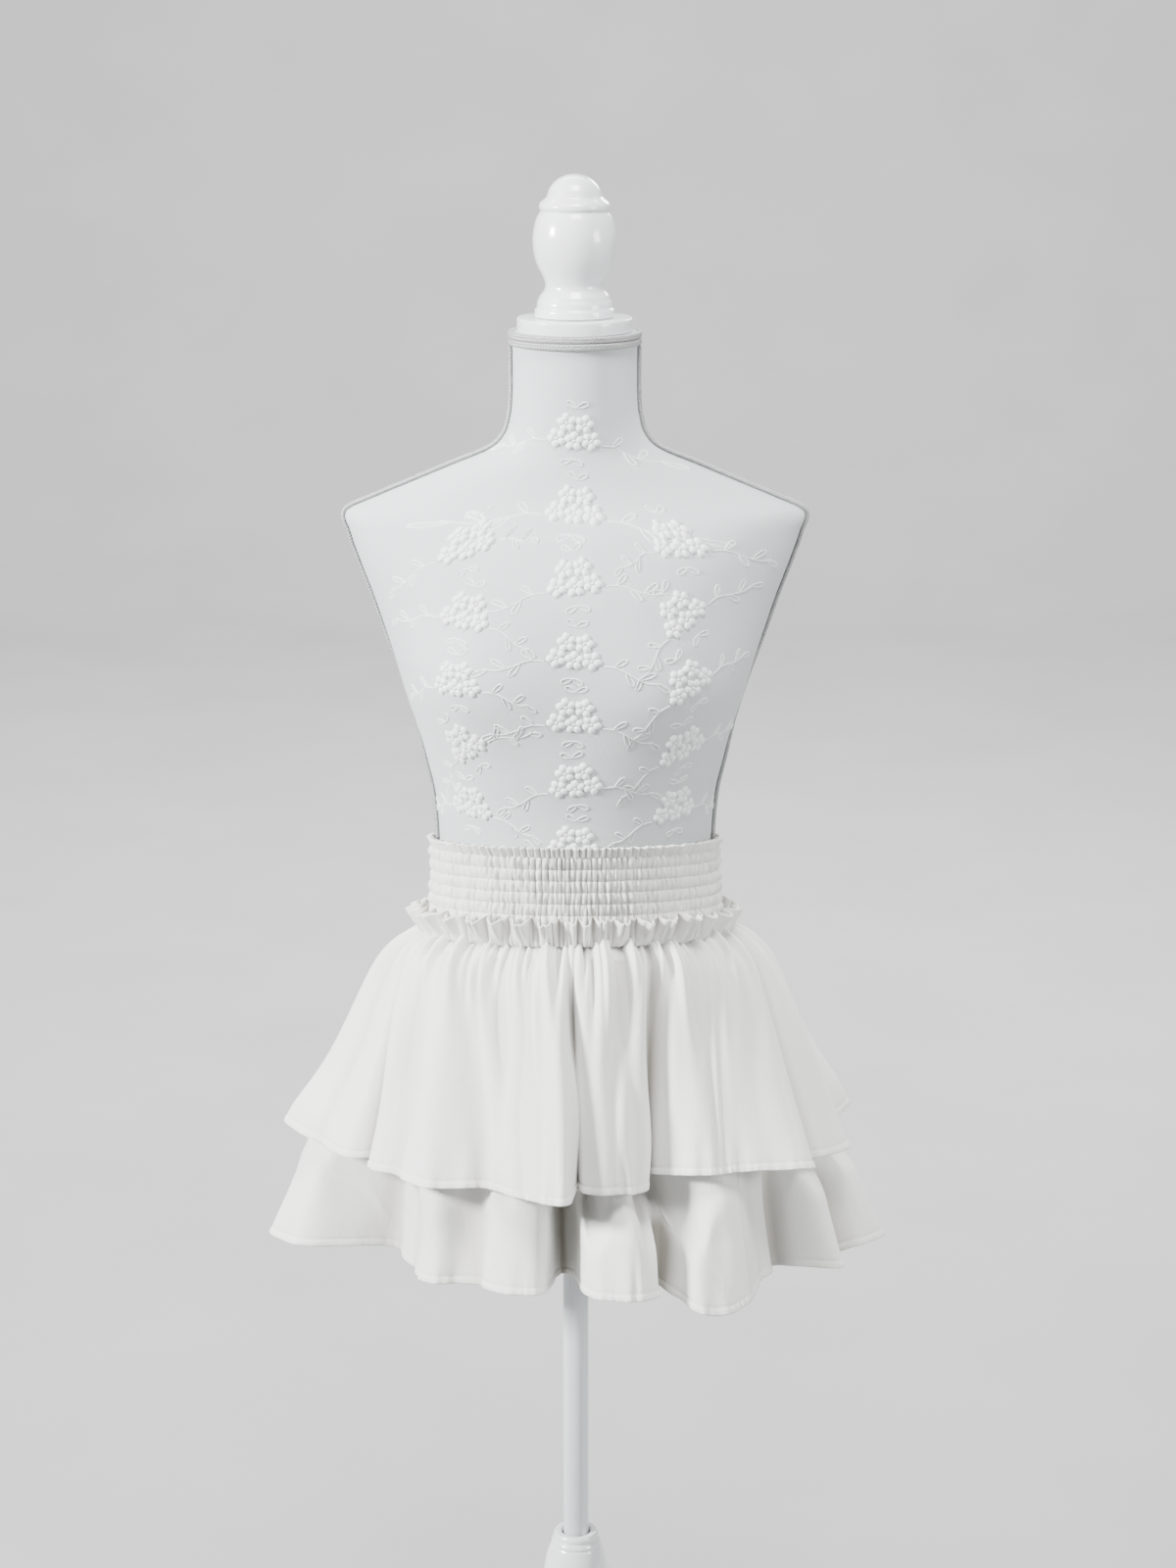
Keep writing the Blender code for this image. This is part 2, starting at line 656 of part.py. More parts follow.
def turned(name, outline, base_z, steps, finish):
    """An outline spun round the Z axis, as on a lathe."""
    shape = bmesh.new()
    corners = [shape.verts.new((radius, 0, base_z + z)) for radius, z in outline]
    edges = [shape.edges.new(pair) for pair in zip(corners, corners[1:])]
    bmesh.ops.spin(
        shape, geom=corners + edges, cent=(0, 0, 0), axis=(0, 0, 1),
        angle=2 * math.pi, steps=steps, use_merge=True,
    )
    bmesh.ops.remove_doubles(shape, verts=shape.verts, dist=1e-6)
    bmesh.ops.recalc_face_normals(shape, faces=shape.faces)
    mesh = bpy.data.meshes.new(name)
    shape.to_mesh(mesh)
    shape.free()
    return add_object(name, mesh, finish, sharp_degrees=50)


def build_stand(paint, metal):
    turned("finial", FINIAL_OUTLINE, WAIST_Z, 24, paint)
    cap = NECK_CAP
    edge = cap["radius"] - cap["round"]
    turned("neck_cap", (
        (0.0, cap["top"] - SEAM_GAP),
        (edge, cap["top"] - SEAM_GAP),
        (cap["radius"], cap["top"] - SEAM_GAP - cap["round"]),
        (cap["radius"], cap["bottom"] + cap["round"]),
        (edge, cap["bottom"]),
        (0.0, cap["bottom"]),
    ), WAIST_Z, 32, paint)
    pole_top = WAIST_Z + FORM_LEVELS[0][0] - SEAM_GAP
    turned("pole", (
        (0.0, pole_top),
        (POLE_RADIUS, pole_top),
        (POLE_RADIUS, SOCKET_FLOOR_Z + SEAM_GAP),
        (0.0, SOCKET_FLOOR_Z + SEAM_GAP),
    ), 0.0, 20, metal)
    turned("column", COLUMN_OUTLINE, 0.0, 24, paint)
    for number, angle in enumerate(LEG_ANGLES, start=1):
        build_leg(f"leg_{number}", math.radians(angle), paint)


def bezier(points, steps):
    a, b, c, d = (Vector(p) for p in points)
    curve = []
    for k in range(steps + 1):
        t = k / steps
        near, far = (1 - t) ** 3 * a + 3 * t * (1 - t) ** 2 * b, 3 * t * t * (1 - t) * c + t ** 3 * d
        curve.append(near + far)
    return curve


def build_leg(name, angle, finish):
    """A cabriole leg sawn from a plank, bowed out from the column and ending in a flat foot."""
    root = COLUMN_RADIUS + SEAM_GAP
    tip = LEG_REACH
    top = bezier(((root, 0.214), (0.100, 0.232), (0.128, 0.050), (tip - 0.014, 0.024)), 10)
    toe = bezier(((tip - 0.014, 0.024), (tip - 0.004, 0.022), (tip, 0.012), (tip, 0.0)), 3)
    under = bezier(((tip - 0.040, 0.0), (0.118, 0.012), (0.090, 0.150), (root, 0.142)), 10)
    outline = top + toe[1:] + under
    shape = bmesh.new()
    side = shape.faces.new([shape.verts.new((p.x, -LEG_WIDTH / 2, p.y)) for p in outline])
    pushed = bmesh.ops.extrude_face_region(shape, geom=[side])["geom"]
    verts = [g for g in pushed if isinstance(g, bmesh.types.BMVert)]
    bmesh.ops.translate(shape, verts=verts, vec=(0, LEG_WIDTH, 0))
    bmesh.ops.recalc_face_normals(shape, faces=shape.faces)
    mesh = bpy.data.meshes.new(name)
    shape.to_mesh(mesh)
    shape.free()
    made = add_object(name, mesh, finish)
    made.rotation_euler.z = angle
    return made


def main():
    for old in list(bpy.data.objects):
        bpy.data.objects.remove(old)
    skirt_cloth = material("ivory_cloth", (0.86, 0.85, 0.81), 0.75)
    band_cloth = material("smocked_cloth", (0.88, 0.88, 0.86), 0.85)
    cover = material("form_cover", (0.78, 0.80, 0.81), 0.90)
    braid = material("silver_braid", (0.62, 0.61, 0.60), 0.55, 0.25)
    paint = material("white_paint", (0.88, 0.89, 0.90), 0.30)
    metal = material("painted_tube", (0.80, 0.81, 0.82), 0.35)
    build_form(cover)
    build_side_braids(braid)
    build_neck_braids(braid)
    build_stand(paint, metal)
    build_waistband(band_cloth)
    build_heading(skirt_cloth)
    build_layer("upper_tier", UPPER, upper_point, UPPER_ROWS, skirt_cloth)
    build_layer("lower_tier", LOWER, lower_points(), LOWER_ROWS, skirt_cloth)
    build_shorts(skirt_cloth)


main()
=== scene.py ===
import math
import random

import bmesh
import bpy
import numpy as np
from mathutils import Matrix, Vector


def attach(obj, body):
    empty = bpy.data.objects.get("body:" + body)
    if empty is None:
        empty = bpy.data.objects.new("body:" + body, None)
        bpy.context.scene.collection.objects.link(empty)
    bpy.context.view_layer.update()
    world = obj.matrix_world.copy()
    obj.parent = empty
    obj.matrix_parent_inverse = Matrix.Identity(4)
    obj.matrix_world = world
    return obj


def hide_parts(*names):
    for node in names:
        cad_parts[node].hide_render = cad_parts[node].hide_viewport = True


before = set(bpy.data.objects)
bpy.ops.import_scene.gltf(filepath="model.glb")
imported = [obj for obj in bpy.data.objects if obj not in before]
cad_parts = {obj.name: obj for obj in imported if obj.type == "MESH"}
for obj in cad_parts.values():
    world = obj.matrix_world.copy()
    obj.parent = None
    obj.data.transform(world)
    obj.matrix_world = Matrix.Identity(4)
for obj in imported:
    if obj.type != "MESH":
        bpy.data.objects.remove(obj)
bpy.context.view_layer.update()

# ----------------------------------------
# Dress form. A moulded foam torso without limbs, drawn over with thin pale cotton that is
# seamed down both sides. It carries the skort and stands on the pole.
WAIST_Z = 1.010
# height from the waist, half width, depth to the front, depth to the back
FORM_LEVELS = (
    (-0.215, 0.1330, 0.0930, 0.1020), (-0.206, 0.1365, 0.0970, 0.1060),
    (-0.186, 0.1380, 0.1000, 0.1090), (-0.150, 0.1370, 0.1000, 0.1090),
    (-0.110, 0.1280, 0.0960, 0.1030), (-0.075, 0.1165, 0.0910, 0.0965),
    (-0.040, 0.1128, 0.0870, 0.0890), (0.000, 0.1115, 0.0860, 0.0860),
    (0.041, 0.1145, 0.0890, 0.0870), (0.071, 0.1210, 0.0940, 0.0890),
    (0.105, 0.1285, 0.0990, 0.0920), (0.141, 0.1395, 0.1030, 0.0960),
    (0.176, 0.1520, 0.1030, 0.1000), (0.210, 0.1635, 0.0980, 0.1010),
    (0.234, 0.1725, 0.0900, 0.0990), (0.258, 0.1805, 0.0780, 0.0920),
    (0.274, 0.1830, 0.0660, 0.0820), (0.285, 0.1600, 0.0580, 0.0700),
    (0.298, 0.1290, 0.0525, 0.0600), (0.311, 0.0980, 0.0495, 0.0530),
    (0.3235, 0.0680, 0.0478, 0.0485), (0.335, 0.0560, 0.0475, 0.0475),
    (0.350, 0.0510, 0.0475, 0.0475), (0.369, 0.0493, 0.0475, 0.0475),
    (0.4168, 0.0493, 0.0475, 0.0475),
)
BUST_SIDE, BUST_UP, BUST_SPREAD, BUST_RISE = 0.082, 0.145, 0.050, 0.016
BUST_EDGE = 0.25           # the mounds fade out before the side seams


class Wire:
    """One output of a material's nodes. Sums and products with it add the maths nodes."""

    def __init__(self, finish, socket):
        self.finish, self.socket = finish, socket

    def maths(self, operation, *values):
        inputs = dict(enumerate(values))
        return self.finish.node("ShaderNodeMath", {"operation": operation}, inputs)

    def __add__(self, other):
        return self.maths("ADD", self, other)

    def __sub__(self, other):
        return self.maths("SUBTRACT", self, other)

    def __rsub__(self, other):
        return self.maths("SUBTRACT", other, self)

    def __mul__(self, other):
        return self.maths("MULTIPLY", self, other)

    def __truediv__(self, other):
        return self.maths("DIVIDE", self, other)

    def clipped(self, low, high):
        return self.maths("MINIMUM", self.maths("MAXIMUM", self, low), high)

    __radd__ = __add__
    __rmul__ = __mul__


class Finish:
    """A material whose shader takes plain numbers, or wires for what varies over a surface."""

    def __init__(self, name, **constants):
        self.material = bpy.data.materials.new(name)
        self.material.use_nodes = True
        self.tree = self.material.node_tree
        self.shader = self.tree.nodes["Principled BSDF"]
        for socket, value in constants.items():
            self.shader.inputs[socket.replace("_", " ")].default_value = value

    def node(self, kind, settings, inputs, output=0):
        made = self.tree.nodes.new(kind)
        for setting, value in settings.items():
            if setting == "stops":
                for stop, (place, tone) in zip(made.color_ramp.elements, value):
                    stop.position, stop.color = place, (*tone, 1.0)
            else:
                setattr(made, setting, value)
        for socket, value in inputs.items():
            if isinstance(value, Wire):
                self.tree.links.new(value.socket, made.inputs[socket])
            else:
                made.inputs[socket].default_value = value
        return Wire(self, made.outputs[output])

    def place(self):
        return self.node("ShaderNodeTexCoord", {}, {}, "Object")

    def cloth_place(self):
        return self.node("ShaderNodeUVMap", {"uv_map": "cloth"}, {})

    def axes(self, place):
        split = self.node("ShaderNodeSeparateXYZ", {}, {0: place})
        outputs = split.socket.node.outputs
        return [Wire(self, socket) for socket in outputs]

    def stretched(self, place, scale):
        return self.node("ShaderNodeMapping", {}, {"Vector": place, "Scale": scale})

    def speckle(self, place, scale, detail=2.0, roughness=0.5):
        inputs = {"Vector": place, "Scale": scale, "Detail": detail, "Roughness": roughness}
        return self.node("ShaderNodeTexNoise", {}, inputs)

    def tones(self, amount, low, high):
        return self.node("ShaderNodeValToRGB", {"stops": ((0.0, low), (1.0, high))}, {0: amount})

    def mixed(self, first, second, share):
        """One colour over another. Sockets 0, 6 and 7 are the colour inputs of a Mix node."""
        inputs = {0: share, 6: first, 7: second if isinstance(second, Wire) else (*second, 1.0)}
        return self.node("ShaderNodeMix", {"data_type": "RGBA"}, inputs, 2)

    def use(self, **wires):
        for socket, wire in wires.items():
            self.tree.links.new(wire.socket, self.shader.inputs[socket.replace("_", " ")])

    def raised(self, height, distance, strength=1.0):
        inputs = {"Height": height, "Distance": distance, "Strength": strength}
        self.use(Normal=self.node("ShaderNodeBump", {}, inputs))


def table_value(rows, column, x):
    """A smooth curve through one column of a table whose first column is x."""
    at = np.array([row[0] for row in rows], float)
    value = np.array([row[column] for row in rows], float)
    slope = np.empty(len(at))
    slope[1:-1] = (value[2:] - value[:-2]) / (at[2:] - at[:-2])
    slope[0] = (value[1] - value[0]) / (at[1] - at[0])
    slope[-1] = (value[-1] - value[-2]) / (at[-1] - at[-2])
    x = np.clip(x, at[0], at[-1])
    i = np.clip(np.searchsorted(at, x, side="right") - 1, 0, len(at) - 2)
    span = at[i + 1] - at[i]
    t = (x - at[i]) / span
    return (
        value[i] * (1 + 2 * t) * (1 - t) ** 2
        + value[i + 1] * (3 - 2 * t) * t ** 2
        + span * slope[i] * t * (1 - t) ** 2
        - span * slope[i + 1] * t ** 2 * (1 - t)
    )


def sizes_at(levels, z):
    """The half width, front depth and back depth that a table gives at a height."""
    return [table_value(levels, column, z) for column in (1, 2, 3)]


def ellipse_radius(angle, side, front, back):
    depth = np.where(np.sin(angle) < 0, front, back)
    return 1 / np.hypot(np.cos(angle) / side, np.sin(angle) / depth)


def form_radius(angle, z):
    """Distance from the axis to the form's skin, at a height from the waist."""
    radius = ellipse_radius(angle, *sizes_at(FORM_LEVELS, z))
    across = np.abs(radius * np.cos(angle)) - BUST_SIDE
    ahead = np.clip(-np.sin(angle) / BUST_EDGE, 0, 1)
    mound = BUST_RISE * np.exp(-(across ** 2 + (z - BUST_UP) ** 2) / BUST_SPREAD ** 2)
    return radius + mound * ahead ** 2 * (3 - 2 * ahead)


def polar(angle, radius, z):
    """Points of the model from an angle, a reach and a height from the waist."""
    angle, radius, z = np.broadcast_arrays(angle, radius, z)
    return np.stack([radius * np.cos(angle), radius * np.sin(angle), WAIST_Z + z], axis=-1)


def mesh_piece(name, points, faces, finish, slot=None, face_outwards=False):
    """A smooth mesh of one finish. Given a slot, it rides on the stand."""
    mesh = bpy.data.meshes.new(name)
    mesh.from_pydata(points, [], faces)
    if face_outwards:
        shape = bmesh.new()
        shape.from_mesh(mesh)
        bmesh.ops.recalc_face_normals(shape, faces=shape.faces)
        shape.to_mesh(mesh)
        shape.free()
    mesh.shade_smooth()
    mesh.materials.append(finish.material)
    made = bpy.data.objects.new(name, mesh)
    bpy.context.scene.collection.objects.link(made)
    if slot:
        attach(made, "root")
    return made


def skin_grid(name, points, finish, slot, closed_round=False, capped=False, cloth=None):
    """A piece through a grid of points: rows run upwards, points anticlockwise.

    cloth gives each point's place on the flat cloth, for the weave to follow.
    """
    rows, across = points.shape[:2]
    number = np.arange(rows * across).reshape(rows, across)
    if closed_round:
        number = np.concatenate([number, number[:, :1]], axis=1)
    low, high = number[:-1], number[1:]
    quads = np.stack([low[:, :-1], low[:, 1:], high[:, 1:], high[:, :-1]], axis=-1)
    faces = quads.reshape(-1, 4).tolist()
    if capped:
        faces += [number[0, ::-1][:across].tolist(), number[-1, :across].tolist()]
    made = mesh_piece(name, points.reshape(-1, 3).tolist(), faces, finish, slot)
    if cloth is not None:
        layer = made.data.uv_layers.new(name="cloth")
        corner = np.empty(len(made.data.loops), np.int32)
        made.data.loops.foreach_get("vertex_index", corner)
        layer.data.foreach_set("uv", cloth.reshape(-1, 2)[corner].astype(np.float32).ravel())
    return made


cover_cotton = Finish(
    "cover_cotton", Sheen_Weight=0.25, Sheen_Roughness=0.5, Specular_IOR_Level=0.3
)
thread = cover_cotton.place()
weave = (
    cover_cotton.speckle(cover_cotton.stretched(thread, (2600, 2600, 420)), 1.0, 1.0)
    + cover_cotton.speckle(cover_cotton.stretched(thread, (420, 420, 2600)), 1.0, 1.0)
)
wear = cover_cotton.speckle(thread, 14.0, 3.0)
cover_cotton.use(
    Base_Color=cover_cotton.tones(
        wear * 0.7 + weave * 0.15, (0.55, 0.585, 0.60), (0.68, 0.71, 0.72)
    ),
    Roughness=wear * 0.10 + 0.80,
)
cover_cotton.raised(weave, 0.00035, 0.6)

FORM_ROUND, FORM_UP = 160, 160
around = np.linspace(0, 2 * np.pi, FORM_ROUND, endpoint=False)[None, :]
upwards = np.linspace(FORM_LEVELS[0][0], FORM_LEVELS[-1][0], FORM_UP)[:, None]
side, front, back = sizes_at(FORM_LEVELS, upwards)
depth = np.where(np.sin(around) < 0, front, back)
angle = np.arctan2(depth * np.sin(around), side * np.cos(around))
cover = skin_grid(
    "form_cover", polar(angle, form_radius(angle, upwards), upwards), cover_cotton,
    "form_cover", closed_round=True, capped=True,
)
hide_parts("form_body")

# ----------------------------------------
# Raised white embroidery on the cover. Sprigs of five small flowers, joined by stems with
# looped leaves, are worked in thick satin stitch in a half-drop repeat all over the form.
SPRIG_UP = 0.0535          # repeat up the form
SPRIG_ACROSS = (-0.163, -0.083, 0.0, 0.080, 0.158)
SPRIG_LOWEST, SPRIG_HIGHEST, SPRIG_ROWS = 0.020, 0.372, 9
SPRIG_SIDE_CLEAR = 0.016   # the sprigs stop short of the side seams
# how unevenly they are set: up the form, round it and leaning (the last two in radians)
SHAKE_UP, SHAKE_ROUND, SHAKE_LEAN = 0.0015, 0.006, 0.12
ODD_LEAN = 0.5             # every other column has some sprigs turned this much further
FLOWERS = (
    (-0.0070, 0.0076, 0.2), (0.0070, 0.0076, -0.2),
    (-0.0136, -0.0050, 0.5), (0.0, -0.0060, 0.0), (0.0136, -0.0050, -0.5),
)
PETALS = 5
PETAL_OUT = 0.0044
PETAL_LONG, PETAL_WIDE, PETAL_HIGH = 0.0038, 0.0034, 0.0018
HEART_RADIUS, HEART_HIGH = 0.0017, 0.0019
CORD_WIDE, CORD_HIGH, CORD_SUNK = 0.00062, 0.0008, 0.0002
LOOP_UP, LOOP_LONG, LOOP_WIDE = 0.0205, 0.0092, 0.0026
LOOP_LEAN = {1: 1.15, -1: 2.0}                # above and below the flowers
STEM_START, STEM_LONG, STEM_WAVE, STEM_STEPS = (0.0225, -0.0085), (0.0390, -0.0105), 0.0022, 14
LEAF_WIDE, LEAF_LEAN = 0.0023, 0.25
# share along the stem, lean and length
LEAVES = ((0.22, 0.95, 0.0105), (0.46, -0.85, 0.0112), (0.66, 0.80, 0.0112), (0.90, -0.35, 0.0105))
MOUND_SIDES = 10
FEEL_STEP, FEEL_ROUND = 0.002, 0.01           # steps for finding the form's slope and size


def unit(vectors):
    return vectors / np.maximum(np.linalg.norm(vectors, axis=-1), 1e-9)[..., None]


def turned(root, u, v, turn):
    """A point of a small drawing, once it is turned and moved to its root."""
    return (
        root[0] + u * math.cos(turn) - v * math.sin(turn),
        root[1] + u * math.sin(turn) + v * math.cos(turn),
    )


def stitched_mound(shape, centre, turn, long, wide, high):
    """An oval of satin stitch on the flat: an edge ring, a shoulder ring and a crown."""
    points, faces = shape
    start, count = len(points), MOUND_SIDES
    for share, rise in ((1.0, -0.25), (0.74, 0.78)):
        for k in range(count):
            a = 2 * math.pi * k / count
            u, v = long * share * math.cos(a), wide * share * math.sin(a)
            points.append((*turned(centre, u, v, turn), high * rise))
    points.append((*centre, high))
    for k in range(count):
        beside = (k + 1) % count
        faces.append((start + k, start + beside, start + count + beside, start + count + k))
        faces.append((start + count + k, start + count + beside, start + 2 * count))


def stitched_cord(shape, path):
    """A narrow raised line of stitches along a path on the flat."""
    points, faces = shape
    start = len(points)
    for k, (u, v) in enumerate(path):
        before, after = path[max(k - 1, 0)], path[min(k + 1, len(path) - 1)]
        du, dv = after[0] - before[0], after[1] - before[1]
        size = math.hypot(du, dv) or 1.0
        across = (-dv / size * CORD_WIDE, du / size * CORD_WIDE)
        points.append((u + across[0], v + across[1], -CORD_SUNK))
        points.append((u, v, CORD_HIGH))
        points.append((u - across[0], v - across[1], -CORD_SUNK))
    for k in range(len(path) - 1):
        a = start + 3 * k
        faces.append((a, a + 1, a + 4, a + 3))
        faces.append((a + 1, a + 2, a + 5, a + 4))


def loop_path(root, turn, long, wide, steps=12):
    """A pointed loop that leaves its root and comes back to it."""
    path = []
    for k in range(steps + 1):
        a = math.pi * 2 * k / steps
        u = long * (1 - math.cos(a)) / 2
        v = wide * math.sin(a) * (0.35 + 0.65 * u / long)
        path.append(turned(root, u, v, turn))
    return path


def on_form(angle, z):
    return polar(angle, form_radius(angle, z), z)


def sprig():
    """One repeat of the embroidery, drawn on the flat about its own middle."""
    shape = ([], [])
    for u, v, turn in FLOWERS:
        for k in range(PETALS):
            a = turn + math.pi / 2 + 2 * math.pi * k / PETALS
            centre = (u + PETAL_OUT * math.cos(a), v + PETAL_OUT * math.sin(a))
            stitched_mound(shape, centre, a, PETAL_LONG, PETAL_WIDE, PETAL_HIGH)
        stitched_mound(shape, (u, v), 0.0, HEART_RADIUS, HEART_RADIUS, HEART_HIGH)
    for up in (1, -1):
        for sign in (-1, 1):
            turn = math.pi / 2 - sign * LOOP_LEAN[up]
            stitched_cord(shape, loop_path((0, up * LOOP_UP), turn, LOOP_LONG, LOOP_WIDE))
    for sign in (-1, 1):
        stem = []
        for k in range(STEM_STEPS + 1):
            t = k / STEM_STEPS
            u, v = (start + long * t for start, long in zip(STEM_START, STEM_LONG))
            stem.append((sign * u, v + STEM_WAVE * math.sin(t * 2 * math.pi)))
        stitched_cord(shape, stem)
        for share, lean, long in LEAVES:
            root = stem[round(share * STEM_STEPS)]
            turn = lean - LEAF_LEAN if sign > 0 else math.pi - lean + LEAF_LEAN
            stitched_cord(shape, loop_path(root, turn, long, LEAF_WIDE))
    return np.array(shape[0]), shape[1]


embroidery_thread = Finish("embroidery_thread", Sheen_Weight=0.3, Specular_IOR_Level=0.45)
strands = embroidery_thread.speckle(embroidery_thread.place(), 900.0, 2.0)
embroidery_thread.use(
    Base_Color=embroidery_thread.tones(strands, (0.86, 0.88, 0.89), (0.96, 0.97, 0.97)),
    Roughness=strands * 0.2 + 0.45,
)
embroidery_thread.raised(strands, 0.0004, 0.7)

flat, sprig_faces = sprig()
stitch_points, stitch_faces = [], []
rng = random.Random(11)
for facing in (-1, 1):
    for column, x in enumerate(SPRIG_ACROSS):
        drop = SPRIG_UP / 2 * (column % 2)
        for row in range(SPRIG_ROWS):
            z = SPRIG_LOWEST + drop + SPRIG_UP * row + rng.uniform(-SHAKE_UP, SHAKE_UP)
            side, front, back = map(float, sizes_at(FORM_LEVELS, z))
            if abs(x) > side - SPRIG_SIDE_CLEAR or z > SPRIG_HIGHEST:
                continue
            depth = front if facing < 0 else back
            middle = math.atan2(facing * depth * math.sqrt(1 - (x / side) ** 2), x)
            middle += rng.uniform(-SHAKE_ROUND, SHAKE_ROUND)
            lean = rng.uniform(-SHAKE_LEAN, SHAKE_LEAN)
            lean += (ODD_LEAN if column % 2 else 0.0) * rng.choice((0, 1))
            u, v = turned((0.0, 0.0), flat[:, 0], flat[:, 1], lean)
            here = on_form(np.array([middle - FEEL_ROUND, middle + FEEL_ROUND]), z)
            turn = middle + u * (2 * FEEL_ROUND / np.linalg.norm(here[1] - here[0]))
            high = z + v
            beside = on_form(turn + FEEL_STEP, high) - on_form(turn - FEEL_STEP, high)
            above = on_form(turn, high + FEEL_STEP) - on_form(turn, high - FEEL_STEP)
            placed = on_form(turn, high) + unit(np.cross(beside, above)) * flat[:, 2:]
            start = sum(len(p) for p in stitch_points)
            stitch_points.append(placed)
            stitch_faces += [tuple(start + k for k in face) for face in sprig_faces]
mesh_piece(
    "form_embroidery", np.concatenate(stitch_points).tolist(), stitch_faces, embroidery_thread,
    "form_cover",
)

# ----------------------------------------
# Silver braid. Three soft strands are plaited flat and sewn down over each side seam, and
# two more rows go round the top of the neck.
BRAID_WIDE, BRAID_THICK = 0.0054, 0.0038
BRAID_REPEAT = 0.0074
BRAID_STEP = 0.00075
BRAID_LOWEST, BRAID_HIGHEST = -0.012, 0.4062
STRANDS, STRAND_RADIUS, STRAND_SIDES = 3, 0.00125, 6
STRAND_FLATTENED = 1.35    # how much wider than high a strand is
SIDE_LIFT, NECK_LIFT = 0.0001, 0.0002
NECK_BRAIDS = (("upper", 0.4150), ("lower", 0.4096))
NECK_RADIUS = 0.050


def gone_along(line):
    """How far along a line of points each one lies."""
    return np.concatenate([[0], np.cumsum(np.linalg.norm(np.diff(line, axis=0), axis=1))])


def read_at(at, gone, line):
    """Points or directions read off a line, at distances along it."""
    return np.stack([np.interp(at, gone, line[:, k]) for k in range(3)], axis=-1)


def directions(line, closed):
    """Unit tangents of a line of points."""
    along = np.roll(line, -1, 0) - np.roll(line, 1, 0)
    if not closed:
        along[0], along[-1] = line[1] - line[0], line[-1] - line[-2]
    return unit(along)


def plait(name, line, outward, node, closed=False):
    """Three tubes woven over and under along a line; outward points off the form."""
    across = np.cross(directions(line, closed), outward)
    gone = gone_along(line)
    repeats = max(1, round(gone[-1] / BRAID_REPEAT))
    phase = gone / (gone[-1] + (BRAID_STEP if closed else 0)) * repeats * 2 * np.pi
    points, faces = [], []
    count = len(line)
    for strand in range(STRANDS):
        turn = phase + strand * 2 * np.pi / STRANDS
        wide = (BRAID_WIDE / 2 - STRAND_RADIUS) * np.sin(turn)
        high = (BRAID_THICK / 2 - STRAND_RADIUS) * np.sin(2 * turn)
        middle = line + across * wide[:, None] + outward * high[:, None]
        tangent = directions(middle, closed)
        out = unit(outward - tangent * (outward * tangent).sum(1)[:, None])
        beside = np.cross(tangent, out) * STRAND_FLATTENED
        start = strand * count * STRAND_SIDES
        for k in range(STRAND_SIDES):
            a = 2 * math.pi * k / STRAND_SIDES
            round_strand = out * math.cos(a) + beside * math.sin(a)
            points.append(middle + round_strand * STRAND_RADIUS)
        for i in range(count if closed else count - 1):
            for k in range(STRAND_SIDES):
                k_next, i_next = (k + 1) % STRAND_SIDES, (i + 1) % count
                faces.append((
                    start + k * count + i, start + k * count + i_next,
                    start + k_next * count + i_next, start + k_next * count + i,
                ))
        if not closed:
            ends = [start + k * count for k in range(STRAND_SIDES)]
            faces.append(ends[::-1])
            faces.append([k + count - 1 for k in ends])
    made = mesh_piece(
        name, np.concatenate(points).tolist(), faces, silver_braid, "braid", face_outwards=True
    )
    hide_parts(node)


silver_braid = Finish("silver_braid", Metallic=0.35, Specular_IOR_Level=0.6)
fibres = silver_braid.speckle(silver_braid.place(), 1500.0, 2.0)
silver_braid.use(
    Base_Color=silver_braid.tones(fibres, (0.17, 0.17, 0.175), (0.66, 0.66, 0.66)),
    Roughness=fibres * 0.25 + 0.35,
)
silver_braid.raised(fibres, 0.0004, 0.8)

for side_name, sign in (("right", 1), ("left", -1)):
    z = np.arange(BRAID_LOWEST, BRAID_HIGHEST, BRAID_STEP)
    line = np.stack([sign * table_value(FORM_LEVELS, 1, z), 0 * z, WAIST_Z + z], axis=-1)
    gone = gone_along(line)
    at = np.arange(0, gone[-1], BRAID_STEP)
    line = read_at(at, gone, line)
    along = np.gradient(line, axis=0)
    outward = unit(np.stack([sign * along[:, 2], 0 * at, -sign * along[:, 0]], axis=-1))
    line = line + outward * (BRAID_THICK / 2 + SIDE_LIFT)
    plait(f"seam_braid_{side_name}", line, outward, f"side_braid_{side_name}")
for name, z in NECK_BRAIDS:
    steps = round(2 * math.pi * NECK_RADIUS / BRAID_STEP)
    turn = 2 * np.pi * np.arange(steps) / steps
    ring = polar(turn, form_radius(turn, z) + BRAID_THICK / 2 + NECK_LIFT, z)
    outward = np.stack([np.cos(turn), np.sin(turn), 0 * turn], axis=-1)
    plait(f"collar_braid_{name}", ring, outward, f"neck_braid_{name}", closed=True)

# ----------------------------------------
# Neck disc and finial. Both are turned from beech on a lathe, sanded and sprayed with white
# gloss. The disc closes the neck, and the finial is screwed down through it.
TURNED_SIDES = 72
CORNER_DEGREES = 34        # a bend sharper than this is a cut corner, and the rest is curved
